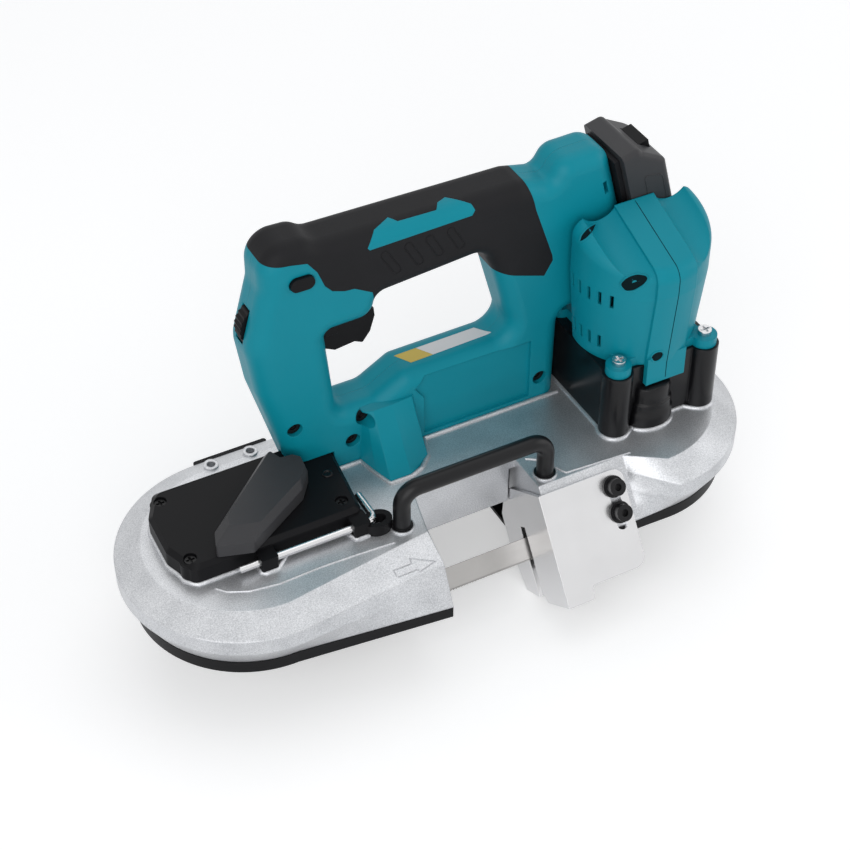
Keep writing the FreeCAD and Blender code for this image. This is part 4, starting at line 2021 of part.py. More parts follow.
def main():
    """Build every piece, move it to the part's frame and write it."""
    os.makedirs("parts", exist_ok=True)
    parts = build_all()
    shift = frame_shift(parts)
    print("frame shift", shift)
    for name, shape in parts.items():
        shape.translate(shift)
        shape.exportStep("parts/" + name + ".step")


main()
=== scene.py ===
"""Compact cordless band saw: finishes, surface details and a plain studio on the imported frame."""

import json
import logging
import math
from dataclasses import dataclass, field
from enum import Enum
from typing import Any, ClassVar, Optional, Sequence, Union

import bpy
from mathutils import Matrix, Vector
from mathutils.bvhtree import BVHTree


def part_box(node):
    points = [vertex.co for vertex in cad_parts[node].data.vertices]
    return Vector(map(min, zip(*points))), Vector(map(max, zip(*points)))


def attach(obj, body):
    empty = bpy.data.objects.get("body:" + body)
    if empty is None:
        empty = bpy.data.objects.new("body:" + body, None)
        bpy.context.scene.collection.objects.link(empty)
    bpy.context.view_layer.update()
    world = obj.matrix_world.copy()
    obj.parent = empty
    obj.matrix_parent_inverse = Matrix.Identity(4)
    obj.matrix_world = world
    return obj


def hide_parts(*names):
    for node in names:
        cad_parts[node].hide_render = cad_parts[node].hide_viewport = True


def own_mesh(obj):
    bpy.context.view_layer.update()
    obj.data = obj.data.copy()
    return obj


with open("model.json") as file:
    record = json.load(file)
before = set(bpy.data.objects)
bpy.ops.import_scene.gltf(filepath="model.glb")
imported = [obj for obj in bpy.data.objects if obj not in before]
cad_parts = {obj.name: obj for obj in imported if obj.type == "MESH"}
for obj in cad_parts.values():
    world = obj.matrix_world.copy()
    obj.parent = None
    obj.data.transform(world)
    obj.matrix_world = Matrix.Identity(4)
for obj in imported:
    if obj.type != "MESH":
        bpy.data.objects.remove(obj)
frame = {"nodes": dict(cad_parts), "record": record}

LOG = logging.getLogger("band_saw")

Colour = tuple[float, float, float]
Point = tuple[float, float, float]
Plan = tuple[float, float]
Face = Sequence[int]
Solid = tuple[list[Vector], list[Face]]
Hit = tuple[Vector, Vector]

MM = 0.001
CAMERA_PLACE: Point = (-0.39133, -0.715394, 0.842834)
UP = Vector((0.0, 0.0, 1.0))
DOWN = Vector((0.0, 0.0, -1.0))
BACK = Vector((0.0, 1.0, 0.0))
EVEN: Point = (1.0, 1.0, 1.0)
WHITE: Colour = (1.0, 1.0, 1.0)
BLACK: Colour = (0.0, 0.0, 0.0)
FINE_SIDES = 6


class Body(str, Enum):
    """CAD bodies that scene pieces ride on."""

    FRAME = "frame"
    BATTERY = "battery_set"


class Grain(Enum):
    """Surface texture families."""

    SPARK = "spark"
    CAST = "cast"
    BRUSHED = "brushed"
    SMOOTH = "smooth"


class Socket:
    """A shader value with the arithmetic that the finishes use."""

    def __init__(self, graph: "Graph", raw: Any) -> None:
        """Wrap one output socket of a graph."""
        self.graph = graph
        self.raw = raw

    def _math(self, operation: str, first: Any, second: Any) -> "Socket":
        """The result of one maths node."""
        return self.graph.node("ShaderNodeMath", {0: first, 1: second}, operation=operation)

    def __add__(self, other: Any) -> "Socket":
        """The sum with another value."""
        return self._math("ADD", self, other)

    def __radd__(self, other: Any) -> "Socket":
        """The sum with a plain number on the left."""
        return self._math("ADD", other, self)

    def __sub__(self, other: Any) -> "Socket":
        """The difference from another value."""
        return self._math("SUBTRACT", self, other)

    def __rsub__(self, other: Any) -> "Socket":
        """The difference from a plain number on the left."""
        return self._math("SUBTRACT", other, self)

    def __mul__(self, other: Any) -> "Socket":
        """The product with another value."""
        return self._math("MULTIPLY", self, other)

    def __rmul__(self, other: Any) -> "Socket":
        """The product with a plain number on the left."""
        return self._math("MULTIPLY", other, self)


def rgba(colour: Colour) -> tuple[float, float, float, float]:
    """A colour with full alpha."""
    return (*colour, 1.0)


class Graph:
    """The node graph of one material or world."""

    mix_low: ClassVar[int] = 6
    mix_high: ClassVar[int] = 7
    mix_result: ClassVar[int] = 2
    edge_samples: ClassVar[int] = 4

    def __init__(self, owner: Union[bpy.types.Material, bpy.types.World]) -> None:
        """Start on the owner's own nodes.

        Args:
            owner: The material or world.
        """
        owner.use_nodes = True
        self.owner = owner
        self.tree = owner.node_tree

    def feed(self, target: Any, value: Any) -> None:
        """Link or set one input.

        Args:
            target: The input socket.
            value: A socket, a number or a tuple.
        """
        if isinstance(value, Socket):
            self.tree.links.new(value.raw, target)
        else:
            target.default_value = value

    def node(
        self, kind: str, inputs: dict[Any, Any], output: Union[int, str] = 0, **settings: Any
    ) -> Socket:
        """Add any node and give back one of its outputs.

        Args:
            kind: Blender's node type.
            inputs: Values or sockets by input name or number.
            output: Which output to give back.
            settings: Attributes to set on the node.

        Returns:
            The chosen output.
        """
        made = self.tree.nodes.new(kind)
        for key, value in settings.items():
            setattr(made, key, value)
        for key, value in inputs.items():
            self.feed(made.inputs[key], value)
        return Socket(self, made.outputs[output])

    def noise(self, scale: float, detail: float, stretch: Point = EVEN) -> Socket:
        """Noise in object space.

        Args:
            scale: Features per metre.
            detail: Octaves.
            stretch: A factor for each axis.

        Returns:
            A value from 0 to 1.
        """
        base = self.node("ShaderNodeTexCoord", {}, output="Object")
        place = self.node("ShaderNodeMapping", {"Vector": base, "Scale": stretch})
        return self.node("ShaderNodeTexNoise", {"Vector": place, "Scale": scale, "Detail": detail})

    def blend(self, factor: Any, low: Colour, high: Colour) -> Socket:
        """Mix two colours.

        Args:
            factor: 0 for the first colour, 1 for the second.
            low: The first colour.
            high: The second colour.

        Returns:
            A colour socket.
        """
        inputs = {"Factor": factor, self.mix_low: rgba(low), self.mix_high: rgba(high)}
        return self.node("ShaderNodeMix", inputs, output=self.mix_result, data_type="RGBA")

    def soft_edges(self, radius: float) -> Socket:
        """A normal that rounds sharp edges off by a radius in metres."""
        return self.node("ShaderNodeBevel", {"Radius": radius}, samples=self.edge_samples)

    def bump(self, height: Socket, depth: float, base: Socket) -> Socket:
        """A normal bumped by a height from 0 to 1, where 1 stands for the depth in metres."""
        inputs = {"Height": height, "Distance": depth, "Strength": 1.0, "Normal": base}
        return self.node("ShaderNodeBump", inputs)


@dataclass(frozen=True)
class Finish:
    """One finish: colours, gloss and grain."""

    blotch: ClassVar[float] = 45.0
    blotch_detail: ClassVar[float] = 3.0
    fine_detail: ClassVar[float] = 2.0
    cast_detail: ClassVar[float] = 4.0
    brush_stretch: ClassVar[Point] = (0.03, 1.0, 1.0)
    noise_middle: ClassVar[float] = 0.5
    cast_blotch_share: ClassVar[float] = 0.8
    cast_fine_share: ClassVar[float] = 2.0

    name: str
    colour: Colour
    shade: Colour
    roughness: float
    spread: float = 0.08
    metallic: float = 0.0
    gloss: float = 0.5
    grain: Grain = Grain.SPARK
    depth: float = 0.00002
    pitch: float = 2200.0
    edge: float = 0.0005

    def build(self) -> bpy.types.Material:
        """Make the Blender material.

        Returns:
            The material, with colour, roughness and normal fed by object-space textures.
        """
        graph = Graph(bpy.data.materials.new(self.name))
        shader = graph.tree.nodes["Principled BSDF"].inputs
        shader["Metallic"].default_value = self.metallic
        shader["Specular IOR Level"].default_value = self.gloss
        cast = self.grain is Grain.CAST
        patches = graph.noise(self.blotch, self.blotch_detail)
        detail = self.cast_detail if cast else self.fine_detail
        fine = graph.noise(self.pitch, detail, self.brush_stretch if self.grain is Grain.BRUSHED else EVEN)
        uneven = fine - self.noise_middle
        mixture = patches
        if cast:
            blotches = self.noise_middle + (patches - self.noise_middle) * self.cast_blotch_share
            mixture = blotches + uneven * self.cast_fine_share
        graph.feed(shader["Base Color"], graph.blend(mixture, self.shade, self.colour))
        graph.feed(shader["Roughness"], self.roughness + uneven * self.spread)
        normal = graph.soft_edges(self.edge)
        if self.grain is not Grain.SMOOTH:
            normal = graph.bump(fine, self.depth, normal)
        graph.feed(shader["Normal"], normal)
        return graph.owner


FINISHES: dict[str, Finish] = {
    finish.name: finish
    for finish in (
        Finish(
            "cast_silver", (0.74, 0.75, 0.77), (0.40, 0.41, 0.43), roughness=0.36, spread=0.16, metallic=0.7,
            grain=Grain.CAST, depth=0.00005, pitch=1500.0, edge=0.0012,
        ),
        Finish("black_plastic", (0.007, 0.007, 0.008), (0.005, 0.005, 0.006), roughness=0.40, gloss=0.12),
        Finish(
            "gloss_black", (0.006, 0.006, 0.007), (0.004, 0.004, 0.005), roughness=0.26, spread=0.05,
            gloss=0.25, edge=0.001,
        ),
        Finish(
            "teal_plastic", (0.002, 0.270, 0.350), (0.002, 0.250, 0.325), roughness=0.42, spread=0.10,
            gloss=0.2, edge=0.0008,
        ),
        Finish(
            "grip_rubber", (0.014, 0.014, 0.016), (0.010, 0.010, 0.011), roughness=0.56, spread=0.14,
            gloss=0.15, depth=0.00004, pitch=1500.0,
        ),
        Finish(
            "dark_grey_plastic", (0.045, 0.045, 0.048), (0.036, 0.036, 0.039), roughness=0.45, gloss=0.25,
        ),
        Finish(
            "bright_steel", (0.74, 0.74, 0.75), (0.66, 0.66, 0.67), roughness=0.24, spread=0.12, metallic=1.0,
            grain=Grain.BRUSHED, depth=0.000006, pitch=1600.0,
        ),
        Finish(
            "blade_steel", (0.46, 0.45, 0.44), (0.38, 0.37, 0.36), roughness=0.38, spread=0.16, metallic=0.9,
            grain=Grain.BRUSHED, depth=0.00001, pitch=1400.0,
        ),
        Finish(
            "black_steel", (0.009, 0.009, 0.010), (0.006, 0.006, 0.007), roughness=0.32, spread=0.1,
            gloss=0.25,
        ),
        Finish(
            "bearing_steel", (0.62, 0.62, 0.64), (0.54, 0.54, 0.56), roughness=0.25, spread=0.1, metallic=1.0,
            grain=Grain.SMOOTH,
        ),
        Finish("tyre_rubber", (0.030, 0.030, 0.031), (0.022, 0.022, 0.023), roughness=0.7),
        Finish(
            "cast_wheel", (0.58, 0.58, 0.60), (0.50, 0.50, 0.52), roughness=0.42, spread=0.1, metallic=0.9,
            grain=Grain.CAST, depth=0.00003,
        ),
        Finish(
            "copper_winding", (0.55, 0.22, 0.08), (0.42, 0.16, 0.05), roughness=0.35, spread=0.1,
            metallic=0.9,
        ),
        Finish("board_green", (0.02, 0.13, 0.05), (0.015, 0.10, 0.04), roughness=0.4),
        Finish("cell_wrap", (0.05, 0.14, 0.36), (0.04, 0.11, 0.30), roughness=0.3),
        # Painted shade: the opening finish fills the housing's air openings with the dark of their shadowed
        # insides. It also colours the dark parting line of the housing.
        Finish(
            "opening", (0.002, 0.012, 0.016), (0.001, 0.008, 0.010), roughness=0.8, gloss=0.1,
            grain=Grain.SMOOTH,
        ),
        Finish(
            "label_white", (0.74, 0.75, 0.76), (0.70, 0.71, 0.72), roughness=0.45, grain=Grain.SMOOTH,
        ),
        Finish(
            "label_yellow", (0.62, 0.47, 0.08), (0.58, 0.43, 0.07), roughness=0.45, grain=Grain.SMOOTH,
        ),
    )
}


@dataclass
class Paint:
    """The finishes as Blender materials."""

    made: dict[str, bpy.types.Material] = field(default_factory=dict)

    def of(self, name: str) -> bpy.types.Material:
        """The material of a finish, made when first asked for.

        Args:
            name: The finish, which is a record slot's name for every CAD node.

        Returns:
            The material.
        """
        if name not in self.made:
            self.made[name] = FINISHES[name].build()
        return self.made[name]

    def dress_frame(self) -> None:
        """Give every CAD node its slot's material."""
        for part in frame["record"]["subparts"]:
            mesh = frame["nodes"][part["node"]].data
            mesh.materials.clear()
            mesh.materials.append(self.of(part["material_slot"]))


@dataclass(frozen=True)
class Layout:
    """The layout frame of the part's source, in millimetres from the middle between the wheels."""

    deck_low: ClassVar[float] = 8.0
    pad_back: ClassVar[float] = 76.5

    origin: Vector

    @classmethod
    def from_frame(cls) -> "Layout":
        """Place the layout frame by the rear pads and the deck's lower rim.

        Returns:
            The layout frame.
        """
        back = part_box("rear_bumper")[1][1]
        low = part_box("deck_frame")[0][2]
        return cls(Vector((0.0, back - cls.pad_back * MM, low - cls.deck_low * MM)))

    def at(self, x: float, y: float, z: float) -> Vector:
        """A layout point in the row frame.

        Args:
            x: Along the tool, in millimetres.
            y: Away from the blade side.
            z: Up from the seam of the wheel guards.

        Returns:
            The point in metres.
        """
        return self.origin + Vector((x, y, z)) * MM


class Surface:
    """The outside of some CAD nodes, to lay details on."""

    def __init__(self, *nodes: str, extra: Optional[Solid] = None) -> None:
        """Gather the faces for ray casting.

        Args:
            nodes: The nodes' names.
            extra: A further mesh that belongs to the outside.
        """
        corners: list[Vector] = list(extra[0]) if extra else []
        faces: list[Face] = list(extra[1]) if extra else []
        for name in nodes:
            item = frame["nodes"][name]
            start = len(corners)
            corners += [item.matrix_world @ vertex.co for vertex in item.data.vertices]
            faces += [[start + index for index in face.vertices] for face in item.data.polygons]
        self.tree = BVHTree.FromPolygons(corners, faces)

    def cast(self, start: Vector, along: Vector) -> Hit:
        """Where a ray meets the surface.

        Args:
            start: The ray's start in metres.
            along: Its direction.

        Returns:
            The point and the outward normal there; the start and the reversed ray if it meets nothing.
        """
        along = along.normalized()
        place, normal, _index, _reach = self.tree.ray_cast(start, along)
        if place is None:
            LOG.warning("a detail's ray from %s met nothing", tuple(start))
            return start, -along
        return place, normal if normal.dot(along) < 0 else -normal


class Forms:
    """Small meshes for details."""

    steep: ClassVar[float] = 0.95

    @staticmethod
    def skin(rows: int, count: int, closed: bool = False) -> list[Face]:
        """The faces between neighbouring rings of points.

        Args:
            rows: How many rings there are.
            count: How many points each ring has.
            closed: Whether the last ring joins the first.

        Returns:
            The faces.
        """
        faces: list[Face] = []
        for row in range(rows if closed else rows - 1):
            base, below = row * count, (row + 1) % rows * count
            for index in range(count):
                after = (index + 1) % count
                faces.append((base + index, base + after, below + after, below + index))
        return faces

    @staticmethod
    def sweep(path: Sequence[Vector], radius: float, closed: bool = False, sides: int = 8) -> Solid:
        """A round bead along a path.

        Args:
            path: The path's points in metres.
            radius: The bead's radius in metres.
            closed: Whether the path ends where it starts.
            sides: How many sides the bead's section has.

        Returns:
            Vertices and faces.
        """
        count = len(path)
        corners: list[Vector] = []
        side = UP
        for index, point in enumerate(path):
            before = path[index - 1] if closed or index else point
            after = path[(index + 1) % count] if closed or index + 1 < count else point
            ahead = (after - before).normalized()
            if abs(ahead.dot(side)) > Forms.steep:
                side = ahead.orthogonal()
            side = (side - ahead * side.dot(ahead)).normalized()
            across = ahead.cross(side)
            for step in range(sides):
                angle = 2 * math.pi * step / sides
                corners.append(point + (side * math.cos(angle) + across * math.sin(angle)) * radius)
        faces = Forms.skin(count, sides, closed)
        if not closed:
            faces.append(tuple(range(sides))[::-1])
            faces.append(tuple((count - 1) * sides + step for step in range(sides)))
        return corners, faces

    @staticmethod
    def patch(rings: Sequence[Sequence[Hit]], rise: float) -> Solid:
        """A thin plate that follows a surface, from its rim to its middle.

        Args:
            rings: Points and normals on the surface, ring by ring, the rim first.
            rise: The plate's height in metres.

        Returns:
            Vertices and faces.
        """
        count = len(rings[0])
        corners = [point - normal * rise for point, normal in rings[0]]
        corners += [point + normal * rise for ring in rings for point, normal in ring]
        faces = Forms.skin(len(rings) + 1, count)
        last = len(rings) * count
        faces.append(tuple(last + index for index in range(count)))
        return corners, faces

    @staticmethod
    def sheet(rows: Sequence[Sequence[Vector]], rise: float) -> Solid:
        """A thin sheet that lies on a surface below it.

        Args:
            rows: The surface's points, row by row.
            rise: How far the sheet stands above the surface and reaches below it, in metres.

        Returns:
            Vertices and faces.
        """
        wide, count = len(rows[0]), len(rows) * len(rows[0])
        low = [point for row in rows for point in row]
        lift = UP * rise
        corners = [point - lift for point in low] + [point + lift for point in low]
        faces: list[Face] = []
        for row in range(len(rows) - 1):
            for column in range(wide - 1):
                first = row * wide + column
                quad = (first, first + 1, first + wide + 1, first + wide)
                faces.append(tuple(count + index for index in quad))
                faces.append(quad[::-1])
        rim = list(range(wide)) + [row * wide + wide - 1 for row in range(1, len(rows))]
        rim += [(len(rows) - 1) * wide + column for column in range(wide - 2, -1, -1)]
        rim += [row * wide for row in range(len(rows) - 2, 0, -1)]
        for index, corner in enumerate(rim):
            after = rim[(index + 1) % len(rim)]
            faces.append((corner, after, count + after, count + corner))
        return corners, faces

    @staticmethod
    def turned(profile: Sequence[Plan], foot: Vector, axis: Vector, sides: int = 40) -> Solid:
        """A turned form.

        Args:
            profile: Radius and height pairs in millimetres, from the rim to the axis or back to the rim.
            foot: The axis's start.
            axis: The axis's direction.
            sides: How many steps make a turn.

        Returns:
            Vertices and faces.
        """
        turn = axis.normalized().to_track_quat("Z", "Y").to_matrix()
        corners: list[Vector] = []
        for radius, height in profile:
            for step in range(sides):
                angle = 2 * math.pi * step / sides
                local = Vector((radius * math.cos(angle), radius * math.sin(angle), height)) * MM
                corners.append(foot + turn @ local)
        return corners, Forms.skin(len(profile), sides)

    @staticmethod
    def band(outer: Sequence[Vector], inner: Sequence[Vector], rise: Vector) -> Solid:
        """A closed band with an opening, raised along a vector.

        Args:
            outer: The outer outline at the foot.
            inner: The inner outline, with as many points.
            rise: From the foot to the top.

        Returns:
            Vertices and faces.
        """
        rings = [list(outer), [p + rise for p in outer], [p + rise for p in inner], list(inner)]
        corners = [point for ring in rings for point in ring]
        return corners, Forms.skin(len(rings), len(outer), closed=True)


@dataclass
class Maker:
    """Turns forms into pieces that ride the CAD bodies."""

    sharp_angle: ClassVar[float] = 40.0

    paint: Paint
    layout: Layout
    count: int = 0

    def add(self, name: str, form: Solid, finish: str, body: Body = Body.FRAME) -> None:
        """Make a piece.

        Args:
            name: The piece's name.
            form: Its vertices and faces in the row frame.
            finish: The finish's name.
            body: The CAD body that carries it.
        """
        corners, faces = form
        mesh = bpy.data.meshes.new(name)
        mesh.from_pydata([tuple(corner) for corner in corners], [], [tuple(face) for face in faces])
        mesh.validate()
        mesh.shade_smooth()
        mesh.set_sharp_from_angle(angle=math.radians(self.sharp_angle))
        mesh.materials.append(self.paint.of(finish))
        made = bpy.data.objects.new(name, mesh)
        bpy.context.collection.objects.link(made)
        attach(made, body.value)
        self.count += 1
        LOG.info("made %s", name)


def rounded(corners: Sequence[Plan], radius: float, steps: int = 5, side_share: float = 0.45) -> list[Plan]:
    """A closed flat outline with its corners rounded.

    Args:
        corners: The outline's corners.
        radius: The corners' radius, in the same unit.
        steps: How many points make a corner.
        side_share: The most of a side that a corner may take.

    Returns:
        The outline's points.
    """
    made: list[Plan] = []
    for index, raw in enumerate(corners):
        corner = Vector(raw)
        back = Vector(corners[index - 1]) - corner
        ahead = Vector(corners[(index + 1) % len(corners)]) - corner
        reach = min(radius, back.length * side_share, ahead.length * side_share)
        start = corner + back.normalized() * reach
        end = corner + ahead.normalized() * reach
        for step in range(steps + 1):
            share = step / steps
            point = start * (1 - share) ** 2 + corner * 2 * share * (1 - share) + end * share ** 2
            made.append((point.x, point.y))
    return made


def dense(points: Sequence[Plan], step: float, closed: bool = False) -> list[Plan]:
    """A line with extra points so that it can follow a curved surface.

    Args:
        points: The line's points.
        step: The greatest distance between neighbours.
        closed: Whether the line ends where it starts.

    Returns:
        The denser line.
    """
    made: list[Plan] = []
    ends = list(points[1:]) + (list(points[:1]) if closed else [])
    for start, end in zip(points, ends):
        count = max(1, math.ceil(math.dist(start, end) / step))
        for index in range(count):
            share = index / count
            made.append((start[0] + (end[0] - start[0]) * share, start[1] + (end[1] - start[1]) * share))
    if not closed:
        made.append(tuple(points[-1]))
    return made


def ellipse(middle: Plan, radii: Plan, steps: int) -> list[Plan]:
    """A flat oval.

    Args:
        middle: Its middle.
        radii: Its two radii.
        steps: How many points make a turn.

    Returns:
        The oval's points.
    """
    turns = [2 * math.pi * step / steps for step in range(steps)]
    return [(middle[0] + radii[0] * math.cos(turn), middle[1] + radii[1] * math.sin(turn)) for turn in turns]


@dataclass(frozen=True)
class DeckTrim:
    """Cast beads, collars and step lines on the silver deck, in layout millimetres."""

    top: float = 40.0
    ray_lift: float = 20.0
    wall_lift: float = 0.8
    level_slack: float = 1.5
    least_points: int = 3
    bead: float = 1.5
    step_bead: float = 0.7
    reach: float = 130.0
    turns: int = 150
    cover_middle: Plan = (-78.0, 12.0)
    gear_middle: Plan = (134.5, 11.5)
    collars: tuple[Plan, ...] = ((-40.7, -35.0), (50.9, -35.0))
    collar_profile: tuple[Plan, ...] = ((7.2, -0.6), (7.2, 0.8), (6.8, 1.2), (6.3, 1.2), (6.2, -0.6))
    handle_line: tuple[Plan, ...] = ((94.0, 23.2), (3.9, 23.2))
    foot_line: tuple[Plan, ...] = (
        (3.9, 23.2), (-1.0, 8.7), (-9.0, 1.5), (-17.0, -1.7), (-30.2, -1.7), (-33.8, 10.0), (-37.0, 23.2),
        (-51.0, 23.2),
    )
    left_step: tuple[Plan, ...] = (
        (-49.9, -44.5), (-70.8, -43.2), (-94.5, -42.4), (-118.7, -43.2), (-135.2, -40.7), (-146.0, -35.6),
        (-150.9, -30.2),
    )
    right_step: tuple[Plan, ...] = (
        (47.1, -19.3), (54.2, -24.3), (57.8, -32.2), (62.0, -40.4), (103.2, -43.1),
    )
    arrow: tuple[Plan, ...] = (
        (-58.4, -59.2), (-47.0, -58.9), (-47.0, -56.0), (-34.0, -61.7), (-45.0, -64.3), (-45.4, -62.8),
        (-58.2, -63.2),
    )
    arrow_bead: float = 0.4
    density: float = 2.0

    def drop(self, maker: Maker, deck: Surface, spot: Plan) -> Vector:
        """The deck's point below a plan point."""
        return deck.cast(maker.layout.at(*spot, self.top + self.ray_lift), DOWN)[0]

    def laid(self, maker: Maker, deck: Surface, line: Sequence[Plan], closed: bool = False) -> list[Vector]:
        """A plan line, open or closed, dropped onto the deck."""
        return [self.drop(maker, deck, spot) for spot in dense(line, self.density, closed)]

    def around(self, maker: Maker, wall: Surface, middle: Plan) -> list[Plan]:
        """The outline of an upright piece just above the deck, seen from its middle.

        Args:
            maker: Gives the layout.
            wall: The piece's surface.
            middle: A plan point inside it.

        Returns:
            The outline's plan points.
        """
        outline: list[Plan] = []
        for turn in range(self.turns):
            angle = 2 * math.pi * turn / self.turns
            far = (middle[0] + self.reach * math.cos(angle), middle[1] + self.reach * math.sin(angle))
            start = maker.layout.at(*far, self.top + self.wall_lift)
            inward = Vector((-math.cos(angle), -math.sin(angle), 0.0))
            place, _normal = wall.cast(start, inward)
            distance = (place - start).length / MM
            outline.append((far[0] + inward.x * distance, far[1] + inward.y * distance))
        return outline

    def foot_bead(self, maker: Maker, deck: Surface, name: str, outline: Sequence[Plan]) -> None:
        """A bead round an upright piece, wherever the flat deck carries it.

        Args:
            maker: Makes the piece.
            deck: The deck's surface.
            name: The bead's name.
            outline: The piece's plan outline.
        """
        level = maker.layout.at(0.0, 0.0, self.top).z
        run: list[Vector] = []
        runs: list[list[Vector]] = []
        for spot in outline:
            if abs(self.drop(maker, deck, spot).z - level) < self.level_slack * MM:
                run.append(maker.layout.at(*spot, self.top))
            elif run:
                runs.append(run)
                run = []
        if run and runs:
            runs[0] = run + runs[0]
        elif run:
            maker.add(name, Forms.sweep(run, self.bead * MM, closed=True), "cast_silver")
        long_runs = [part for part in runs if len(part) >= self.least_points]
        for number, part in enumerate(long_runs):
            maker.add(f"{name}_{number}", Forms.sweep(part, self.bead * MM), "cast_silver")

    def build(self, maker: Maker, gear_front: Solid) -> None:
        """Lay all the deck's trim.

        Args:
            maker: Makes the pieces.
            gear_front: The gear housing's front bulge, which its bead goes round.
        """
        deck = Surface("deck_frame")
        cover = Surface("tension_cover")
        gear = Surface("gear_housing", extra=gear_front)
        self.foot_bead(maker, deck, "cover_bead", self.around(maker, cover, self.cover_middle))
        self.foot_bead(maker, deck, "gear_bead", self.around(maker, gear, self.gear_middle))
        for name, line, radius in (
            ("handle_bead", self.handle_line, self.bead),
            ("foot_bead", self.foot_line, self.bead),
            ("left_step_bead", self.left_step, self.step_bead),
            ("right_step_bead", self.right_step, self.step_bead),
        ):
            maker.add(name, Forms.sweep(self.laid(maker, deck, line), radius * MM), "cast_silver")
        arrow = self.laid(maker, deck, self.arrow, closed=True)
        form = Forms.sweep(arrow, self.arrow_bead * MM, closed=True, sides=FINE_SIDES)
        maker.add("running_arrow", form, "cast_silver")
        for side, spot in zip(("left", "right"), self.collars):
            form = Forms.turned(self.collar_profile, maker.layout.at(*spot, self.top), UP)
            maker.add(f"{side}_bar_collar", form, "cast_silver")


@dataclass(frozen=True)
class CoverTrim:
    """The key loop and the eyelet on the tension cover, in layout millimetres."""

    loop_middle: Plan = (-53.0, -29.5)
    loop_outer: Plan = (8.5, 7.0)
    loop_inner: Plan = (5.0, 3.6)
    loop_low: float = 40.0
    loop_rise: float = 7.0
    loop_steps: int = 40
    eyelet: Plan = (-64.2, 9.9)
    eyelet_start: float = 90.0
    eyelet_profile: tuple[Plan, ...] = (
        (3.2, -0.4), (3.2, 0.5), (2.7, 0.8), (1.9, 0.8), (1.7, 0.1), (0.05, 0.05),
    )

    def oval(self, maker: Maker, radii: Plan) -> list[Vector]:
        """An oval of the given radii round the loop's middle, at the loop's foot."""
        flat = ellipse(self.loop_middle, radii, self.loop_steps)
        return [maker.layout.at(*spot, self.loop_low) for spot in flat]

    def build(self, maker: Maker) -> None:
        """Make the loop and the eyelet.

        Args:
            maker: Makes the pieces.
        """
        outer, inner = self.oval(maker, self.loop_outer), self.oval(maker, self.loop_inner)
        rise = Vector((0.0, 0.0, self.loop_rise * MM))
        maker.add("key_loop", Forms.band(outer, inner, rise), "black_plastic")
        start = maker.layout.at(*self.eyelet, self.eyelet_start)
        foot, normal = Surface("tension_cover").cast(start, DOWN)
        maker.add("cover_eyelet", Forms.turned(self.eyelet_profile, foot, normal), "gloss_black")


@dataclass(frozen=True)
class GearTrim:
    """The half-round bulge on the front of the gear housing, in layout millimetres."""

    middle: Plan = (129.0, -23.0)
    radii: Plan = (14.0, 9.5)
    levels: tuple[Plan, ...] = (
        (39.5, 1.0), (50.0, 1.0), (51.0, 0.93), (57.0, 0.93), (58.0, 0.84), (66.0, 0.84), (68.0, 0.78),
        (69.0, 0.6),
    )
    steps: int = 36

    def build(self, maker: Maker) -> Solid:
        """Make the bulge.

        Args:
            maker: Makes the piece.

        Returns:
            The bulge's mesh, for what lies round it.
        """
        corners: list[Vector] = []
        for height, share in self.levels:
            flat = ellipse(self.middle, (self.radii[0] * share, self.radii[1] * share), self.steps)
            corners += [maker.layout.at(*spot, height) for spot in flat]
        faces = Forms.skin(len(self.levels), self.steps)
        last = (len(self.levels) - 1) * self.steps
        faces.append(tuple(last + step for step in range(self.steps)))
        faces.append(tuple(range(self.steps))[::-1])
        maker.add("gear_front_bulge", (corners, faces), "gloss_black")
        return corners, faces


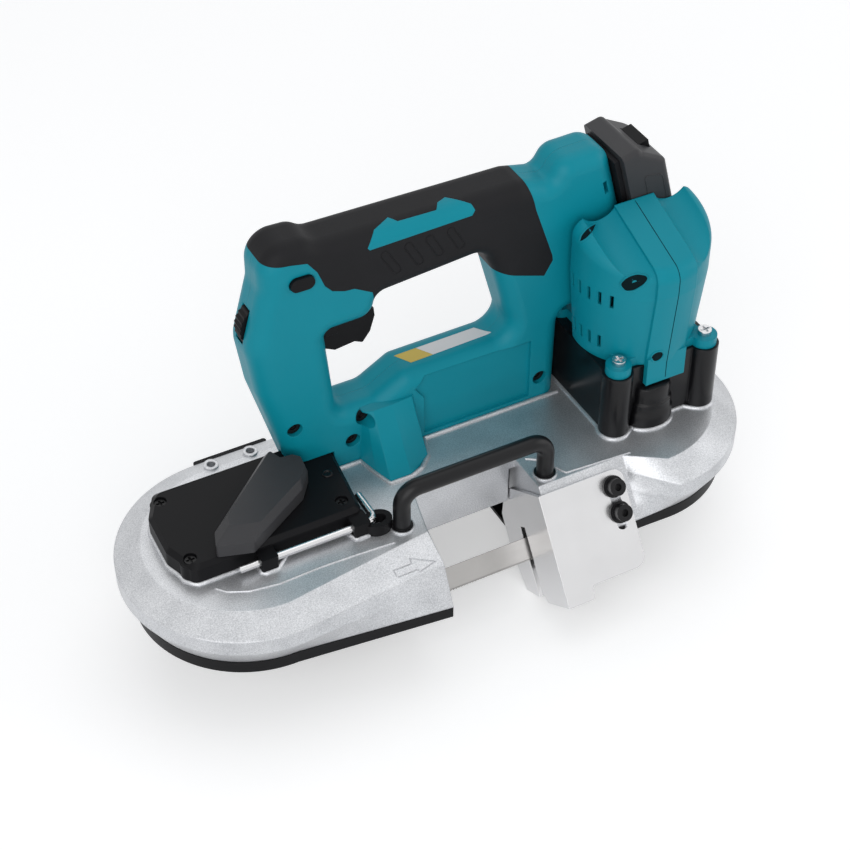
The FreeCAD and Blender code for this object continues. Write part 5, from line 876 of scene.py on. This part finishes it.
@dataclass(frozen=True)
class CanTrim:
    """Openings, filled with painted shade, and the parting line of the motor housing, in layout millimetres.
    """

    front_height: float = 150.0
    front_opening: tuple[Plan, ...] = (
        (99.6, -23.5), (106.3, -20.0), (113.4, -20.1), (117.4, -23.9), (116.4, -27.4), (111.1, -30.7),
        (103.4, -32.6), (98.8, -30.8),
    )
    back_height: float = 157.0
    back_opening: tuple[Plan, ...] = (
        (94.7, 10.9), (99.5, 16.8), (107.0, 21.4), (113.8, 22.5), (106.7, 15.7), (99.7, 11.8),
    )
    side_opening: Plan = (127.5, 91.0)
    side_radius: float = 3.8
    side_front: float = -80.0
    side_steps: int = 32
    shrink: tuple[float, ...] = (1.0, 0.75, 0.5, 0.25)
    cover: float = 0.15
    corner: float = 3.0
    density: float = 1.0
    rim: float = 0.6
    seam_x: float = 134.5
    seam_low: float = 73.0
    seam_reach: float = 60.0
    seam_back: float = 34.0
    seam_step: float = 2.0
    seam_top: float = 170.0
    seam_radius: float = 0.22
    seam_facing: float = -0.5

    def opening(
        self, maker: Maker, name: str, can: Surface, targets: Sequence[Vector], eye: Optional[Vector] = None
    ) -> None:
        """An opening filled with a thin dark patch of painted shade, with a rounded lip.

        Args:
            maker: Makes the pieces.
            name: The opening's name.
            can: The housing's surface.
            targets: What the rays to the opening's rim aim at.
            eye: Where the rays start; without it, each starts straight in front of its aim.
        """
        ahead = Vector((0.0, self.side_front * MM, 0.0))
        middle = sum(targets, Vector()) / len(targets)
        rings: list[list[Hit]] = []
        for share in self.shrink:
            aims = [middle.lerp(target, share) for target in targets]
            starts = [aim + ahead if eye is None else eye for aim in aims]
            rings.append([can.cast(start, aim - start) for start, aim in zip(starts, aims)])
        # The dark patch is painted shade for the opening's shadowed inside.
        maker.add(name, Forms.patch(rings, self.cover * MM), "opening")
        lip = [point for point, _normal in rings[0]]
        maker.add(f"{name}_lip", Forms.sweep(lip, self.rim * MM, closed=True), "teal_plastic")

    def seam(self, maker: Maker, can: Surface) -> None:
        """The line where the two halves of the housing's band meet.

        Args:
            maker: Makes the piece.
            can: The housing's surface.
        """
        path: list[Vector] = []
        for step in range(int((self.seam_top - self.seam_low) / self.seam_step)):
            start = maker.layout.at(self.seam_x, self.side_front, self.seam_low + step * self.seam_step)
            place, normal = can.cast(start, BACK)
            if normal.y < self.seam_facing and 0 < (place - start).y < self.seam_reach * MM:
                path.append(place)
        y = (path[-1].y - maker.layout.origin.y) / MM + self.seam_step
        while y < self.seam_back:
            path.append(can.cast(maker.layout.at(self.seam_x, y, self.seam_top), DOWN)[0])
            y += self.seam_step
        # The seam is a dark joint line in the same dark finish as the openings.
        maker.add("can_seam", Forms.sweep(path, self.seam_radius * MM, sides=FINE_SIDES), "opening")

    def build(self, maker: Maker) -> None:
        """Make the openings, filled with painted shade, and the seam.

        Args:
            maker: Makes the pieces.
        """
        can = Surface("motor_housing")
        for name, outline, height in (
            ("front_opening", self.front_opening, self.front_height),
            ("back_opening", self.back_opening, self.back_height),
        ):
            line = dense(rounded(outline, self.corner), self.density, closed=True)
            targets = [maker.layout.at(*spot, height) for spot in line]
            self.opening(maker, name, can, targets, Vector(CAMERA_PLACE))
        circle = ellipse(self.side_opening, (self.side_radius, self.side_radius), self.side_steps)
        self.opening(maker, "side_opening", can, [maker.layout.at(x, 0.0, z) for x, z in circle])
        self.seam(maker, can)


@dataclass(frozen=True)
class HandleTrim:
    """The bare label strip and the grip's slanted ovals, in layout millimetres."""

    label_front: tuple[Plan, Plan] = ((2.0, 35.0), (55.0, 36.2))
    label_back: tuple[Plan, Plan] = ((-3.8, 45.1), (48.5, 45.4))
    label_start: float = 106.0
    label_columns: int = 44
    label_rows: int = 4
    yellow_share: float = 0.27
    label_lift: float = 0.12
    ovals: tuple[tuple[Plan, Plan], ...] = (
        ((-18.7, 179.5), (-11.4, 167.0)),
        ((-4.5, 180.4), (2.3, 168.1)),
        ((8.3, 180.9), (14.5, 169.6)),
        ((21.2, 181.4), (27.5, 170.1)),
    )
    oval_half: float = 2.2
    oval_bead: float = 0.35
    oval_steps: int = 9
    oval_density: float = 1.5
    front: float = -30.0

    def label(self, maker: Maker, name: str, first: float, last: float, finish: str) -> None:
        """A stretch of the label strip.

        Args:
            maker: Makes the piece.
            name: The stretch's name.
            first: Where it starts, as a share of the strip.
            last: Where it ends.
            finish: Its finish.
        """
        body = Surface("handle_front_shell", "handle_rear_shell")
        rows: list[list[Vector]] = []
        for row in range(self.label_rows + 1):
            part = row / self.label_rows
            line: list[Vector] = []
            for column in range(self.label_columns + 1):
                share = first + (last - first) * column / self.label_columns
                near = Vector(self.label_front[0]).lerp(Vector(self.label_front[1]), share)
                far = Vector(self.label_back[0]).lerp(Vector(self.label_back[1]), share)
                spot = near.lerp(far, part)
                line.append(body.cast(maker.layout.at(*spot, self.label_start), DOWN)[0])
            rows.append(line)
        maker.add(name, Forms.sheet(rows, self.label_lift * MM), finish)

    def oval(self, maker: Maker, grip: Surface, ends: tuple[Plan, Plan]) -> list[Vector]:
        """A slanted stadium outline on the grip's front.

        Args:
            maker: Gives the layout.
            grip: The grip's surface.
            ends: The centres of its round ends, as x and height.

        Returns:
            The outline's points.
        """
        start, end = Vector(ends[0]), Vector(ends[1])
        along = (end - start).normalized()
        across = Vector((-along.y, along.x))
        flat: list[Plan] = []
        for centre, way in ((end, 1.0), (start, -1.0)):
            for step in range(self.oval_steps + 1):
                angle = math.pi * step / self.oval_steps
                turn = across * math.cos(angle) + along * math.sin(angle)
                spot = centre + turn * (way * self.oval_half)
                flat.append((spot.x, spot.y))
        line = dense(flat, self.oval_density, closed=True)
        return [grip.cast(maker.layout.at(x, self.front, z), BACK)[0] for x, z in line]

    def build(self, maker: Maker) -> None:
        """Lay the label strip and the ovals.

        Args:
            maker: Makes the pieces.
        """
        self.label(maker, "label_strip", self.yellow_share, 1.0, "label_white")
        self.label(maker, "label_block", 0.0, self.yellow_share, "label_yellow")
        grip = Surface("grip_overmold", "handle_front_shell", "grip_inlays")
        for number, ends in enumerate(self.ovals):
            path = self.oval(maker, grip, ends)
            form = Forms.sweep(path, self.oval_bead * MM, closed=True, sides=FINE_SIDES)
            maker.add(f"grip_oval_{number}", form, "grip_rubber")


@dataclass(frozen=True)
class BatteryTrim:
    """The raised panel outline on the battery's front side, in the battery's leaning frame."""

    seat: Plan = (121.0, 202.0)
    lean: float = 15.0
    panel: tuple[Plan, ...] = ((14.0, -25.0), (25.0, -30.0), (25.0, -78.0), (14.0, -78.0))
    corner: float = 3.0
    density: float = 2.0
    bead: float = 0.4
    front: float = -30.0

    def build(self, maker: Maker) -> None:
        """Make the outline.

        Args:
            maker: Makes the piece.
        """
        side = Surface("battery_case")
        angle = math.radians(self.lean)
        path: list[Vector] = []
        for out, up in dense(rounded(self.panel, self.corner), self.density, closed=True):
            x = self.seat[0] + out * math.cos(angle) - up * math.sin(angle)
            z = self.seat[1] + out * math.sin(angle) + up * math.cos(angle)
            path.append(side.cast(maker.layout.at(x, self.front, z), BACK)[0])
        form = Forms.sweep(path, self.bead * MM, closed=True, sides=FINE_SIDES)
        maker.add("battery_panel", form, "dark_grey_plastic", Body.BATTERY)


@dataclass(frozen=True)
class TensionCoil:
    """The idler's spring, as a copy of the CAD spring."""

    node: str = "tension_spring"
    joint: str = "tension_slide"

    def build(self, paint: Paint) -> None:
        """Put a copy of the CAD spring in its place, under a new name.

        Args:
            paint: Gives the finish.
        """
        low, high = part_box(self.node)
        joints = frame["record"]["behaviour"]["joints"]
        travel = next(item["range_m"][1] for item in joints if item["name"] == self.joint)
        mesh = frame["nodes"][self.node].data.copy()
        mesh.materials.clear()
        mesh.materials.append(paint.of("bearing_steel"))
        made = bpy.data.objects.new("tension_coil", mesh)
        bpy.context.collection.objects.link(made)
        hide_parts(self.node)
        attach(made, Body.FRAME.value)
        keep = 1.0 - travel / (high[0] - low[0])
        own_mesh(made)
        LOG.info("made %s", made.name)


@dataclass(frozen=True)
class BladeTeeth:
    """The saw teeth on the blade's lower edge in the throat, in layout millimetres."""

    middle: Plan = (-40.0, -10.4)
    twist: float = 35.0
    half_width: float = 6.5
    half_thick: float = 0.25
    first: float = -56.0
    last: float = 70.0
    pitch: float = 1.8
    height: float = 0.9
    root: float = 0.3

    def edge_point(self, maker: Maker, x: float, out: float, down: float) -> Vector:
        """A point in the blade's twisted frame.

        Args:
            maker: Gives the layout.
            x: Along the tool.
            out: Away from the blade's middle plane.
            down: From the blade's middle line towards its teeth.

        Returns:
            The point in metres.
        """
        angle = math.radians(self.twist)
        y = self.middle[0] - out * math.cos(angle) - down * math.sin(angle)
        z = self.middle[1] + out * math.sin(angle) - down * math.cos(angle)
        return maker.layout.at(x, y, z)

    def build(self, maker: Maker) -> None:
        """Make the row of teeth as one mesh.

        Args:
            maker: Makes the piece.
        """
        corners: list[Vector] = []
        faces: list[Face] = []
        count = int((self.last - self.first) / self.pitch)
        for number in range(count):
            x = self.first + number * self.pitch
            heel = x + self.pitch
            profile = ((x, -self.root), (heel, -self.root), (heel, 0.0), (x, self.height))
            size, start = len(profile), len(corners)
            for out in (-self.half_thick, self.half_thick):
                for along, down in profile:
                    corners.append(self.edge_point(maker, along, out, self.half_width + down))
            faces.append(tuple(start + index for index in range(size)))
            faces.append(tuple(start + size + index for index in reversed(range(size))))
            for index in range(size):
                after = (index + 1) % size
                faces.append((start + index, start + index + size, start + after + size, start + after))
        maker.add("blade_teeth", (corners, faces), "blade_steel")


@dataclass(frozen=True)
class Lamp:
    """One soft box."""

    name: str
    place: Point
    size: float
    power: float


@dataclass(frozen=True)
class Studio:
    """Camera, lights and floor, in metres, degrees and watts."""

    level_tilt: ClassVar[float] = 90.0

    azimuth: float = -28.03
    elevation: float = 41.59
    lens: float = 82.66
    sensor: float = 36.0
    clip_end: float = 50.0
    floor_half: float = 6.0
    floor_drop: float = 0.0004
    floor_grey: float = 0.80
    floor_glow: float = 0.42
    floor_roughness: float = 0.9
    floor_gloss: float = 0.1
    world_level: float = 0.42
    world_tint: Colour = (0.95, 0.97, 1.0)
    aim: Point = (0.0, 0.0, 0.1)
    lamps: tuple[Lamp, ...] = (
        Lamp("key", (-1.2, -1.6, 1.2), 2.0, 24.0),
        Lamp("top", (0.4, 0.6, 2.0), 2.2, 8.0),
        Lamp("side", (1.7, -0.8, 0.9), 1.4, 7.0),
    )

    def camera(self) -> None:
        """Stand the camera where the photograph was taken."""
        data = bpy.data.cameras.new("photo_camera")
        data.lens = self.lens
        data.sensor_width = self.sensor
        data.clip_end = self.clip_end
        made = bpy.data.objects.new("photo_camera", data)
        made.location = CAMERA_PLACE
        tilt = math.radians(self.level_tilt - self.elevation)
        made.rotation_euler = (tilt, 0.0, math.radians(self.azimuth))
        bpy.context.collection.objects.link(made)
        bpy.context.scene.camera = made

    def light(self, lamp: Lamp) -> None:
        """Add a soft box.

        Args:
            lamp: What it is.
        """
        data = bpy.data.lights.new(lamp.name, "AREA")
        data.size = lamp.size
        data.energy = lamp.power
        made = bpy.data.objects.new(lamp.name, data)
        made.location = lamp.place
        made.rotation_euler = (Vector(self.aim) - Vector(lamp.place)).to_track_quat("-Z", "Y").to_euler()
        bpy.context.collection.objects.link(made)

    def seen(self, graph: Graph) -> Socket:
        """Whether a ray shows the backdrop.

        Args:
            graph: The graph to add to.

        Returns:
            1 for rays from the camera, from gloss or through glass, otherwise 0.
        """
        largest = graph.node("ShaderNodeLightPath", {}, output="Is Camera Ray")
        for output in ("Is Glossy Ray", "Is Transmission Ray"):
            other = graph.node("ShaderNodeLightPath", {}, output=output)
            largest = graph.node("ShaderNodeMath", {0: largest, 1: other}, operation="MAXIMUM")
        return largest

    def world(self) -> None:
        """A pale surround that is white where it shows."""
        scene = bpy.context.scene
        scene.view_settings.view_transform = "Standard"
        world = bpy.data.worlds.new("studio")
        scene.world = world
        graph = Graph(world)
        pale = {"Color": rgba(self.world_tint), "Strength": self.world_level}
        dim = graph.node("ShaderNodeBackground", pale)
        white = graph.node("ShaderNodeBackground", {"Color": rgba(WHITE), "Strength": 1.0})
        shown = graph.node("ShaderNodeMixShader", {"Fac": self.seen(graph), 1: dim, 2: white})
        graph.feed(graph.tree.nodes["World Output"].inputs["Surface"], shown)

    def floor(self) -> None:
        """A pale floor that shows white and keeps the saw's shadow."""
        graph = Graph(bpy.data.materials.new("floor"))
        shader = graph.tree.nodes["Principled BSDF"].inputs
        shader["Base Color"].default_value = rgba((self.floor_grey, self.floor_grey, self.floor_grey))
        shader["Roughness"].default_value = self.floor_roughness
        shader["Specular IOR Level"].default_value = self.floor_gloss
        glow = (self.floor_glow, self.floor_glow, self.floor_glow)
        graph.feed(shader["Emission Color"], graph.blend(self.seen(graph), BLACK, glow))
        shader["Emission Strength"].default_value = 1.0
        half = self.floor_half
        corners = [(-half, -half, 0.0), (half, -half, 0.0), (half, half, 0.0), (-half, half, 0.0)]
        mesh = bpy.data.meshes.new("floor")
        mesh.from_pydata(corners, [], [tuple(range(len(corners)))])
        mesh.materials.append(graph.owner)
        made = bpy.data.objects.new("floor", mesh)
        made.location.z = -self.floor_drop
        bpy.context.collection.objects.link(made)

    def build(self) -> None:
        """Set up the whole studio."""
        self.world()
        self.floor()
        self.camera()
        for lamp in self.lamps:
            self.light(lamp)
        LOG.info("studio set up")


def main() -> None:
    """Dress the saw, add its trim and set up the studio."""
    logging.basicConfig(level=logging.INFO)
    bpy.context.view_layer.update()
    paint = Paint()
    paint.dress_frame()
    maker = Maker(paint, Layout.from_frame())
    gear_front = GearTrim().build(maker)
    DeckTrim().build(maker, gear_front)
    CoverTrim().build(maker)
    CanTrim().build(maker)
    HandleTrim().build(maker)
    BatteryTrim().build(maker)
    BladeTeeth().build(maker)
    TensionCoil().build(paint)
    Studio().build()
    LOG.info("%d trim pieces made", maker.count)


if __name__ == "__main__":
    main()
